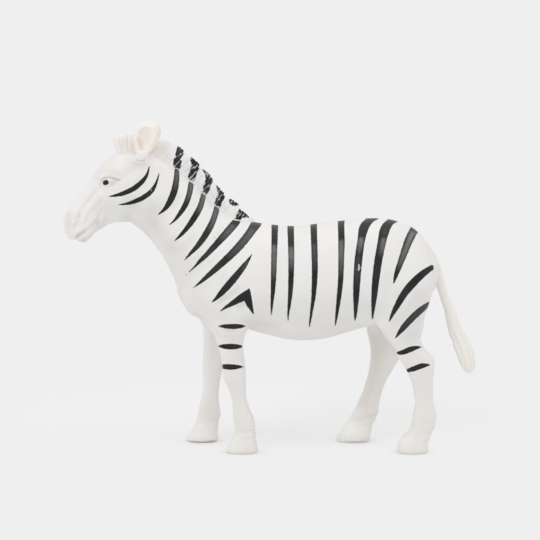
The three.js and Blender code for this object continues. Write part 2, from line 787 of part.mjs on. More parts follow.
// The origin is on the floor, below the middle of the whole figure
const extent = new THREE.Box3().setFromObject(zebra);
const centre = extent.getCenter(new THREE.Vector3());
zebra.position.set(-centre.x, -centre.y, -extent.min.z);

export default zebra;
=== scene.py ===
"""A toy zebra moulded in soft white PVC, with sprayed stripes, on a pale studio floor."""

import math

import bmesh
import bpy
import numpy as np
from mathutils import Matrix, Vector


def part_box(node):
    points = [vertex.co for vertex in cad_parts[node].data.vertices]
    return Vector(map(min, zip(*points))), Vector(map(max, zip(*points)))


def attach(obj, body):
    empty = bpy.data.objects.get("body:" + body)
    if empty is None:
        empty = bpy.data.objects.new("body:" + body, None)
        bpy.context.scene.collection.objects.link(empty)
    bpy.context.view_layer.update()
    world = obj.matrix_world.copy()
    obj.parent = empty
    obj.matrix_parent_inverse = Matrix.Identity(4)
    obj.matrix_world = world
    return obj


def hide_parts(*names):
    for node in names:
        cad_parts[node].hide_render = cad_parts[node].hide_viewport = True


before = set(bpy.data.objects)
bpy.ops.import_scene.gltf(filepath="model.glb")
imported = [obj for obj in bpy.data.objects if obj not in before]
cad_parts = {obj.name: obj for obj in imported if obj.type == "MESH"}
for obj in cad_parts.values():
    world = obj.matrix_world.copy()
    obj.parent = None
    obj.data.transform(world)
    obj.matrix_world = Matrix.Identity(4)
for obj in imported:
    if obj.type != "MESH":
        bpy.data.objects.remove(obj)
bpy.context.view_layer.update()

MM = 0.001

# The view that the stripes are masked from, and that the camera keeps
PICTURE = 540
SENSOR = 36.0
VIEW_FOCAL_PIXELS = 2647.0
VIEW_TARGET = np.array([-0.06, 0.0, 61.0])
VIEW_DISTANCE = 900.0
VIEW_RISE = math.radians(7.5)

# Driving sizes in millimetres
TORSO_LENGTH = 89.0
BARREL_DEPTH = 39.3
BARREL_WIDTH = 34.6
BELLY_HEIGHT = 37.25
NECK_LENGTH, NECK_DEPTH, NECK_WIDTH = 34.0, 26.0, 26.0
NECK_RISE = 132.0
NECK_SEAM_TILT = 14.5
HEAD_LENGTH, HEAD_DEPTH, HEAD_WIDTH = 41.0, 22.0, 17.4
HEAD_RISE = 43.7
EYE_RADIUS = 1.45
EAR_HEIGHT, EAR_WIDTH, EAR_THICKNESS = 12.6, 8.4, 4.6
EAR_SPAN = 10.0
EAR_WALL = 1.2
MANE_HEIGHT, MANE_THICKNESS = 7.8, 4.9
TAIL_DROP, TAIL_REACH = 37.0, 11.9
TAIL_THICKNESS, TAIL_WIDTH = 5.65, 5.0
ELBOW_HEIGHT = BELLY_HEIGHT + 3.2
STIFLE_HEIGHT = BELLY_HEIGHT + 4.7
STANCE_WIDTH, HIP_SPAN = 20.0, 14.0
FORELEG_REACH, HIND_LEG_REACH = 7.0, 9.8
FULLNESS = 2.25

# Rings along each form, then corners round each ring
TORSO_GRID, NECK_GRID, HEAD_GRID, LEG_GRID = (140, 120), (90, 100), (110, 100), (130, 64)
EYE_GRID, EAR_GRID, MANE_GRID, TAIL_GRID = (22, 32), (60, 64), (560, 72), (260, 72)
# Stands in for zero where it would be divided by
TINY = 1e-12

FORELEG_SIZES = {
    "hoof": (10.2, 8.7), "fetlock": (6.8, 6.2), "cannon": (5.3, 5.0),
    "knee": (7.4, 6.7), "forearm": (9.5, 8.5), "shoulder": (19.0, 13.2),
}
HIND_LEG_SIZES = {
    "hoof": (10.4, 8.8), "fetlock": (7.5, 6.4), "cannon": (6.1, 5.3),
    "hock": (12.1, 7.2), "gaskin": (14.2, 10.8), "thigh": (21.4, 14.4),
}

# Torso from chest to buttocks: along, belly line, back line, width
TORSO_SHARES = [
    (0, 0.4, 0.43, 0.03), (0.013, 0.345, 0.58, 0.35), (0.044, 0.235, 0.73, 0.57),
    (0.09, 0.168, 0.86, 0.73), (0.155, 0.13, 1, 0.87), (0.242, 0.112, 1.035, 0.94),
    (0.331, 0.055, 1.005, 0.98), (0.444, 0, 0.983, 1), (0.556, 0.01, 1.011, 0.99),
    (0.646, 0.066, 1.035, 0.96), (0.736, 0.12, 1.052, 0.94), (0.815, 0.16, 1.04, 0.91),
    (0.888, 0.235, 0.984, 0.78), (0.938, 0.32, 0.89, 0.62), (0.972, 0.4, 0.782, 0.45),
    (0.994, 0.49, 0.705, 0.26), (1, 0.575, 0.61, 0.03),
]
# Neck from the poll down into the torso: along, throat line, crest line, width
NECK_SHARES = [
    (-0.118, 0.11, 0.29, 0.14), (-0.06, 0, 0.35, 0.48), (0.05, -0.23, 0.415, 0.56),
    (0.176, -0.395, 0.46, 0.58), (0.294, -0.465, 0.48, 0.6), (0.4, -0.442, 0.5, 0.63),
    (0.53, -0.437, 0.508, 0.68), (0.69, -0.45, 0.496, 0.76), (0.82, -0.488, 0.53, 0.82),
    (0.94, -0.53, 0.59, 0.89), (1.09, -0.6, 0.67, 0.96), (1.24, -0.6, 0.62, 1),
]
NECK_BASE_SHARES = (0.112, 0.763)
NECK_SEAM_SHARE = 0.975
# Head from the lips up to the poll: along, jaw line, nose line, width
HEAD_SHARES = [
    (-0.015, -0.155, -0.055, 0.18), (0.015, -0.242, 0.055, 0.39), (0.05, -0.333, 0.132, 0.51),
    (0.1, -0.35, 0.178, 0.6), (0.17, -0.345, 0.21, 0.63), (0.256, -0.375, 0.232, 0.6),
    (0.34, -0.427, 0.258, 0.645), (0.44, -0.585, 0.29, 0.79), (0.537, -0.627, 0.333, 0.93),
    (0.634, -0.6, 0.352, 1), (0.73, -0.523, 0.322, 0.98), (0.83, -0.432, 0.21, 0.9),
    (0.927, -0.318, 0.01, 0.69), (0.976, -0.227, -0.136, 0.29),
]
POLL_IN_HEAD_SHARES = (0.75, -0.2)
EYE_SHARES = (0.547, 0.2, 0.325)
# Legs from the sole up: joint, height, set back, share of the reach, depth, width, drawn in
LEFT_FORELEG_SHARES = [
    ("hoof", 0, -0.0225, 1, 1, 0.93, 0), ("hoof", 0.014, -0.0235, 1, 1.07, 1, 0),
    ("hoof", 0.088, -0.012, 1, 0.894, 0.92, 0), ("hoof", 0.135, 0.002, 0.98, 0.76, 0.8, 0),
    ("fetlock", 0.16, 0.0095, 0.97, 1.065, 1, 0), ("fetlock", 0.2, 0.01, 0.96, 1.06, 1, 0),
    ("fetlock", 0.29, 0.013, 0.88, 1.02, 1, 0), ("cannon", 0.36, 0.0075, 0.81, 1.095, 1.1, 0),
    ("cannon", 0.46, -0.0045, 0.75, 0.955, 1, 0), ("cannon", 0.54, -0.009, 0.69, 1.12, 1.08, 0),
    ("knee", 0.63, -0.019, 0.63, 1.035, 1, 0), ("knee", 0.71, -0.01, 0.55, 1.045, 1.02, 0),
    ("forearm", 0.83, -0.01, 0.45, 0.84, 0.86, 0),
]
RIGHT_FORELEG_SHARES = [
    ("hoof", 0, -0.0235, 1, 0.98, 0.93, 0), ("hoof", 0.022, -0.0235, 1, 1.12, 1, 0),
    ("hoof", 0.075, -0.008, 1, 0.965, 0.96, 0), ("hoof", 0.109, 0.004, 1, 0.896, 0.92, 0),
    ("hoof", 0.153, 0.016, 0.98, 0.8, 0.8, 0), ("fetlock", 0.178, 0.017, 0.97, 1.153, 1, 0),
    ("fetlock", 0.227, 0.026, 0.95, 1.147, 1, 0), ("fetlock", 0.305, 0.019, 0.88, 1.053, 1, 0),
    ("cannon", 0.373, 0.0113, 0.81, 1.14, 1.1, 0), ("cannon", 0.471, 0.0105, 0.75, 1.094, 1, 0),
    ("cannon", 0.55, 0.007, 0.69, 1.168, 1.08, 0), ("knee", 0.638, 0.004, 0.63, 0.98, 1, 0),
    ("knee", 0.716, 0.002, 0.55, 1.033, 1.02, 0), ("forearm", 0.834, -0.006, 0.45, 0.84, 0.86, 0),
]
SHOULDER_SHARES = [
    ("forearm", 0.93, -0.01, 0.36, 0.95, 0.95, 0), ("forearm", 1, -0.006, 0.31, 1.12, 1.1, 0),
    ("shoulder", 1.08, -0.002, 0.22, 0.78, 0.84, 0.05),
    ("shoulder", 1.2, 0, 0.08, 0.95, 0.96, 0.13), ("shoulder", 1.4, -0.02, 0, 1, 1, 0.14),
    ("shoulder", 1.6, -0.01, 0, 0.74, 0.86, 0.3), ("shoulder", 1.72, 0.005, 0, 0.4, 0.55, 0.77),
    ("shoulder", 1.775, 0.01, 0, 0.08, 0.1, 1),
]
LEFT_HIND_LEG_SHARES = [
    ("hoof", 0, -0.11, 1, 0.93, 0.93, 0), ("hoof", 0.014, -0.11, 1, 1, 1, 0),
    ("hoof", 0.09, -0.102, 1, 0.988, 0.95, 0), ("hoof", 0.145, -0.065, 0.99, 0.867, 0.82, 0),
    ("fetlock", 0.173, -0.044, 0.98, 1.08, 0.95, 0), ("fetlock", 0.25, -0.01, 0.95, 1.1, 1, 0),
    ("fetlock", 0.325, 0.0056, 0.92, 1.037, 0.94, 0), ("cannon", 0.41, 0.014, 0.86, 1.02, 1.02, 0),
    ("cannon", 0.48, 0.0248, 0.79, 1.066, 1, 0), ("cannon", 0.56, 0.0374, 0.7, 1.15, 1.06, 0),
    ("hock", 0.68, 0.0536, 0.54, 0.793, 0.92, 0), ("hock", 0.77, 0.048, 0.43, 0.983, 1, 0),
    ("hock", 0.843, 0.016, 0.32, 0.887, 1.08, 0), ("gaskin", 0.935, -0.003, 0.17, 0.86, 0.88, 0),
    ("gaskin", 1, 0, 0.12, 1.03, 1.03, 0),
]
RIGHT_HIND_LEG_SHARES = [
    ("hoof", 0, -0.105, 1, 0.98, 0.93, 0), ("hoof", 0.022, -0.105, 1, 1.12, 1, 0),
    ("hoof", 0.109, -0.077, 1, 0.988, 0.95, 0), ("hoof", 0.163, -0.055, 0.99, 0.896, 0.82, 0),
    ("fetlock", 0.19, -0.037, 0.98, 1.18, 0.95, 0), ("fetlock", 0.266, -0.009, 0.95, 1.107, 1, 0),
    ("fetlock", 0.339, 0.004, 0.92, 0.97, 0.94, 0), ("cannon", 0.422, 0.0193, 0.86, 1.095, 1.02, 0),
    ("cannon", 0.491, 0.026, 0.79, 1.125, 1, 0), ("cannon", 0.569, 0.037, 0.7, 1.27, 1.06, 0),
    ("hock", 0.687, 0.0433, 0.54, 0.826, 0.92, 0), ("hock", 0.775, 0.0436, 0.43, 1.025, 1, 0),
    ("hock", 0.846, 0.0063, 0.32, 1.028, 1.08, 0), ("gaskin", 0.936, -0.027, 0.17, 1, 0.88, 0),
    ("gaskin", 1, -0.0145, 0.12, 1.114, 1.03, 0),
]
THIGH_SHARES = [
    ("thigh", 1.12, 0, 0.03, 0.83, 0.9, 0.07), ("thigh", 1.25, 0.02, 0, 0.96, 1, 0.21),
    ("thigh", 1.45, 0.05, 0, 0.98, 1, 0.37), ("thigh", 1.61, 0.065, 0, 0.75, 0.86, 0.7),
    ("thigh", 1.735, 0.07, 0, 0.45, 0.58, 1.09), ("thigh", 1.795, 0.06, 0, 0.09, 0.12, 1.4),
]
FORELEG_PLACE_SHARE = 0.179
HIND_LEG_PLACE_SHARE = 0.839
# Ear from its foot to its tip: height, set back, width, thickness
EAR_SHARES = [
    (-0.1, -0.21, 0.58, 0.6), (0.03, -0.195, 0.56, 0.66), (0.135, -0.155, 0.54, 0.8),
    (0.295, -0.072, 0.71, 1),
    (0.51, 0, 0.934, 1), (0.73, 0.028, 1, 0.88), (0.89, 0.032, 0.853, 0.65),
    (0.96, 0.02, 0.564, 0.45), (1, 0, 0.16, 0.16),
]
EAR_BOWL_SHARES = [
    (0.2, -0.2, 0.1, 0.3), (0.33, -0.165, 0.36, 0.72), (0.5, -0.08, 0.6, 0.96),
    (0.675, -0.025, 0.73, 1), (0.825, 0, 0.74, 0.92), (0.915, 0.01, 0.56, 0.7),
    (0.97, 0.015, 0.16, 0.2),
]
EAR_PLACE_SHARES = (0.904, -0.081)
EAR_SPLAY_SHARE = 0.12
# Foot of the mane on each form that carries it: along, up, then the hair's height
MANE_SHARES = [
    ("head", 0.755, 0.294, 0.64), ("head", 0.785, 0.265, 0.75), ("head", 0.83, 0.21, 0.74),
    ("head", 0.87, 0.15, 0.79), ("neck", -0.1, 0.27, 0.82), ("neck", 0.02, 0.4, 0.8),
    ("neck", 0.2, 0.468, 0.75), ("neck", 0.4, 0.5, 0.71), ("neck", 0.58, 0.505, 0.66),
    ("neck", 0.74, 0.51, 0.6), ("neck", 0.89, 0.57, 0.46), ("torso", 0.262, 1.045, 0.22),
    ("torso", 0.292, 1.035, 0.08),
]
# Tail from its root: reach, drop, thickness, width
TAIL_ROOT_SHARES = (0.985, 0.64)
TAIL_SHARES = [
    (0, 0, 0.56, 0.62), (0.09, 0.06, 0.55, 0.62), (0.16, 0.165, 0.54, 0.6),
    (0.285, 0.292, 0.57, 0.63), (0.425, 0.409, 0.66, 0.71), (0.54, 0.535, 0.82, 0.84),
    (0.63, 0.623, 0.94, 0.95), (0.75, 0.71, 1.03, 1), (0.875, 0.81, 1.07, 1.02),
    (0.965, 0.905, 0.95, 0.9), (1, 0.972, 0.56, 0.54), (1.01, 1, 0.12, 0.12),
]

# Stripes as brush strokes on the near side: picture place x, y and half width, in pixels
BODY_STRIPES = {
    "cheek_upper": [
        (149.5, 166, 0.4), (146.8, 175.1, 1.5), (141.1, 182.6, 2.4), (133, 189, 2.6),
        (123.8, 193.1, 2.3), (115, 195.6, 1.3), (108.3, 196.5, 0.3),
    ],
    "cheek_lower": [
        (159.2, 173.5, 0.4), (155.9, 183.7, 1.4), (151, 191.5, 2.3), (142.2, 198.1, 2.5),
        (131, 202.7, 1.8), (124, 204.1, 1.0), (118.4, 205, 0.3),
    ],
    "neck_first": [
        (177.3, 166, 2.2), (176.9, 172, 2.5), (176.1, 182, 3.1), (173.7, 192.8, 3.4),
        (169.7, 201.8, 3.1), (165, 208.8, 2.0), (158, 214.8, 0.4),
    ],
    "neck_second": [
        (192, 178, 2.3), (191.0, 184, 2.8), (189.5, 193, 2.8), (185.8, 203.9, 2.8),
        (180.6, 212.5, 2.3), (174.8, 220.0, 1.3), (169.3, 225, 0.3),
    ],
    "neck_third": [
        (204.5, 190, 2.0), (203.3, 196, 2.7), (200.3, 206.5, 3.0), (194.7, 217, 3.1),
        (187.6, 227.3, 2.4), (180.3, 235.6, 1.6), (174.2, 241.2, 0.3),
    ],
    "neck_fourth": [
        (217, 202, 1.9), (216.6, 209, 2.8), (213.3, 219.9, 3.1), (208.6, 229.7, 3.3),
        (202.7, 239.1, 3.1), (196.9, 246.7, 2.5), (191.1, 252.9, 1.7), (184.3, 260.3, 0.3),
    ],
    "shoulder_first": [
        (238.5, 218.5, 3.2), (235.2, 223.0, 3.9), (227.3, 232.2, 3.9), (216.4, 244.2, 3.2),
        (207.9, 253.4, 2.6), (200.6, 260.5, 2.0), (195.0, 266.5, 1.0), (189, 272, 0.3),
    ],
    "shoulder_second": [
        (259, 219, 3.9), (256.3, 223.3, 5.0), (251.7, 230.3, 4.4), (246.5, 237.5, 4.2),
        (235.8, 250, 4.0), (220.3, 264.7, 3.3), (206.7, 276.9, 2.3), (199.4, 283.1, 1.3),
        (193.2, 287.8, 0.3),
    ],
    "shoulder_third": [
        (252.2, 254.2, 0.3), (246.7, 262.3, 2.0), (243.0, 267.4, 2.8), (233.0, 279.8, 3.6),
        (223.5, 290.6, 3.2), (216.7, 297.9, 1.8), (211.2, 303, 0.3),
    ],
    "chevron_front": [
        (249.4, 288.6, 0.4), (247.2, 292.5, 2.5), (243.5, 296.6, 4.0), (238.1, 299.9, 3.4),
        (231.6, 303.9, 2.4), (225.3, 307.6, 1.4), (219.7, 311.7, 0.3),
    ],
    "chevron_back": [
        (249.4, 288.6, 0.4), (248.4, 293, 2.4), (247.9, 298, 3.8), (249.0, 302.9, 3.4),
        (251.2, 308.3, 2.1), (253.7, 314.8, 0.3),
    ],
    "barrel_first": [
        (275, 221, 3.3), (274.8, 228, 3.3), (274.3, 250, 3.0), (273.7, 272, 2.8), (273.2, 286, 2.5),
        (271.9, 304, 1.4), (271.3, 315.2, 0.5),
    ],
    "barrel_second": [
        (291.2, 221, 3.2), (290.7, 228, 3.3), (291.3, 259, 3.0), (290.7, 286, 2.6),
        (289.3, 304, 1.8), (288.2, 313, 1.1), (288, 320.4, 0.5),
    ],
    "barrel_third": [
        (314, 218, 3.2), (313.7, 226, 3.3), (314.7, 259, 3.1), (314.7, 277, 2.9), (313.6, 295, 2.3),
        (311.3, 313, 1.4), (310.0, 322, 1.0), (309.7, 326.7, 0.5),
    ],
    "barrel_fourth": [
        (342, 217, 3.7), (341.1, 224, 3.3), (341.5, 241, 3.3), (341.2, 259, 3.0), (340.8, 277, 2.7),
        (339.2, 295, 2.4), (336.9, 313, 1.6), (335.2, 326.2, 0.5),
    ],
    "rump_first": [
        (377, 217.5, 2.0), (372, 219.6, 2.7), (367.1, 223.1, 4.1), (363.6, 228.8, 4.7),
        (361.1, 241, 3.8), (358.5, 259, 3.9), (357.1, 277, 3.6), (356.2, 295, 3.1),
        (355.5, 313, 1.7), (355, 320.2, 0.6),
    ],
    "rump_second": [
        (395.5, 218.8, 3.6), (391.0, 221.7, 3.5), (386.9, 226.0, 4.5), (384.1, 232, 4.9),
        (382.1, 240.9, 4.3), (378.6, 258.9, 4.0), (376.1, 276.9, 3.7), (374.3, 294.9, 3.0),
        (373.1, 309.4, 1.8), (372.4, 318.8, 0.6),
    ],
    "rump_third": [
        (416.5, 225, 4.1), (414.0, 230.2, 4.4), (408.5, 241, 4.2), (401.9, 259, 3.3),
        (396.5, 273.4, 2.3), (393.8, 283.2, 0.6),
    ],
    "haunch_upper": [
        (431.9, 267.5, 2.6), (423.6, 273.2, 3.4), (413.8, 282.3, 4.0), (404.5, 293.3, 3.7),
        (397.6, 304.8, 3.0), (392.4, 314.4, 1.8), (389, 322, 0.4),
    ],
    "haunch_lower": [
        (429.3, 303.6, 2.1), (420.1, 310.6, 3.2), (410.4, 319.8, 3.3), (402.3, 328.9, 2.7),
        (395.4, 338, 0.5),
    ],
    "gaskin_upper": [
        (398, 353, 1.4), (402.7, 352.4, 2.4), (410.4, 349.4, 2.8), (416.5, 347.6, 1.8),
        (421.8, 347, 0.4),
    ],
    "gaskin_lower": [
        (407.8, 370.6, 1.7), (412.8, 369.0, 2.5), (420.9, 366.2, 2.7), (426.2, 365.1, 1.6),
        (430.3, 365, 0.4),
    ],
    "forearm_upper": [
        (218.3, 326, 0.3), (224, 326.3, 1.9), (232, 326.5, 2.6), (240, 326.3, 2.1),
        (245.5, 326, 0.4),
    ],
    "forearm_middle": [
        (217.8, 345.8, 0.3), (224, 346.5, 2.3), (231.5, 346.6, 2.9), (238.5, 346.6, 2.0),
        (243.5, 346.2, 0.4),
    ],
    "forearm_lower": [
        (223.6, 366.6, 2.4), (231, 367.0, 2.9), (238, 366.9, 1.9), (243.6, 366.8, 0.4),
    ],
}
MANE_STRIPES = {
    "mane_first": [
        (180.4, 147.6, 3.2), (179.5, 153, 4.0), (177.6, 158, 3.3), (177.4, 163, 4.2),
        (176.6, 168.6, 2.9),
    ],
    "mane_second": [
        (192.4, 158.6, 2.9), (195.2, 164, 3.9), (194.6, 168, 4.3), (193.2, 173, 3.8),
        (191.6, 178, 3.9), (191.5, 181.8, 2.2),
    ],
    "mane_third": [
        (206.6, 173.5, 1.9), (209, 178.5, 3.5), (208.2, 183, 3.8), (206.4, 188, 3.7),
        (205.3, 193, 2.1),
    ],
    "mane_third_streak": [(203, 170, 1.0), (206, 173, 1.5)],
    "mane_fourth": [
        (217.3, 186, 1.4), (220.3, 191.6, 3.1), (220.7, 196.5, 3.9), (218.8, 201, 3.7),
        (217.2, 206.4, 3.5),
    ],
    "mane_fifth": [
        (229.6, 199.6, 1.1), (232.8, 202.6, 3.0), (235.6, 203.9, 2.1), (239, 203.8, 0.9),
    ],
    "mane_sixth": [(240.8, 209.6, 1.4), (240.8, 213, 3.2), (238.8, 216.8, 3.5)],
    "mane_sixth_back": [(241, 214.6, 3.6), (244.5, 215.4, 2.5), (248, 216.8, 1.1)],
}
PUPIL = [(105.2, 182.8, 2.5), (106.3, 182.4, 2.55)]
# Where the paint has come off or never reached: picture place and half width
BARE_LINES = [
    [(358.7, 264.6, 0.5), (359.4, 267.2, 0.7), (358.4, 270.6, 0.5)],
    [(356.6, 268.0, 0.4), (357.2, 270.8, 0.4)],
    [(151.6, 188.8, 0.15), (150.8, 191.4, 0.3)],
    [(286.9, 304.5, 0.6), (286.9, 308.3, 0.6)],
    [(172, 167.8, 0.3), (179.5, 169.8, 0.35), (188, 180, 0.6), (193, 182.6, 0.6),
     (200.5, 191.5, 0.6), (206.5, 195.6, 0.6), (214, 204.9, 0.45), (219.6, 207.8, 0.5),
     (231, 218, 0.6), (241, 220.7, 0.6)],
    [(175, 157.5, 0.5), (178, 156, 0.3)],
    [(191, 182, 0.4), (194, 178.5, 0.3)],
]
# Where the stripe paint is lightened to grey as a painted sheen, the lamps' reflection on the stripes'
# rounded tops and along the upper barrel: stroke, then how grey
PAINTED_SHEEN_PATCHES = [
    ([(177.4, 172, 2.6), (176.9, 177, 3.0), (176, 184, 2.8), (175, 189, 2.0)], 0.5),
    ([(179.5, 150, 2.6), (178.4, 160, 2.4)], 0.2),
    ([(191.6, 181, 2.4), (190.8, 188, 2.6), (189, 196, 2.4), (187, 201, 1.8)], 0.64),
    ([(204.4, 193, 2.4), (203, 200, 2.8), (200.4, 208, 2.6), (198, 213, 2.0)], 0.66),
    ([(216.6, 208, 2.2), (215, 215, 2.6), (212.4, 224, 2.8), (209.4, 231, 2.2)], 0.62),
    ([(232, 227, 2.8), (226, 234, 3.2), (220, 240, 2.6)], 0.5),
    ([(252, 231, 3.0), (246, 239, 3.6), (238, 248, 3.6), (230, 256, 2.8)], 0.42),
    ([(247.5, 263, 2.2), (242, 271, 2.8)], 0.28),
    ([(361.2, 239.5, 2.2), (360.6, 243, 2.8), (360, 247, 2.6), (359, 253, 2.0)], 0.9),
    ([(385, 231, 2.2), (384.4, 236, 2.2)], 0.14),
    ([(383.6, 240, 2.4), (382.8, 245, 2.8), (381.6, 251, 2.6), (380.8, 255, 1.8)], 0.72),
    ([(412, 234, 2.4), (409, 241, 2.6), (405, 251, 2.6), (401.6, 260, 2.8), (399, 268, 2.2)], 0.9),
    ([(358.4, 258, 2.6), (357.6, 272, 3.2), (357.2, 286, 2.6)], 0.2),
    ([(426, 306, 3.0), (412, 318, 3.4), (402, 329, 3.0)], 0.2),
    ([(274.3, 247, 2.2), (274.1, 257, 3.0), (273.9, 266, 3.0), (273.7, 277, 2.2)], 0.72),
    ([(291.2, 249, 2.2), (291.3, 256, 3.2), (291.2, 262, 3.2), (291, 269, 2.2)], 0.85),
    ([(314.4, 246, 2.4), (314.7, 256, 3.2), (314.8, 268, 2.6)], 0.3),
    ([(341.2, 242, 2.2), (341.1, 254, 3.2), (341, 262, 3.2), (340.9, 274, 2.6)], 0.7),
]
# How far the grey fades towards the end of each stroke
PAINTED_SHEEN_TAPER = 0.75
# How each tint multiplies the plastic's own colour. The ones given in numbers in the list below have
# one place each, and above 1 they are painted light, which lightens the plastic where its shading falls
# too dark.
# Most of these are painted shade: the greys, mauve and violet where shade falls, the browns in creases,
# folds and hollows, and the dusk on the far hind leg.
# The umber is painted shade in creases, along the lids and under a hoof, and it is also real: specks of
# dirt and the ear's glue line.
AMBER, BROWN_SHADE, UMBER_SHADE_AND_DIRT = (1.0, 0.78, 0.5), (0.72, 0.55, 0.42), (0.36, 0.24, 0.18)
ROSE, VIOLET_SHADE, OLIVE = (0.96, 0.8, 0.78), (0.84, 0.79, 0.88), (0.78, 0.78, 0.62)
MAUVE_SHADE, ASH_SHADE, SHADE = (0.9, 0.86, 0.88), (0.88, 0.84, 0.83), (0.84, 0.84, 0.845)
FLESH, DUSK_SHADE = (0.965, 0.945, 0.925), (0.88, 0.835, 0.8)
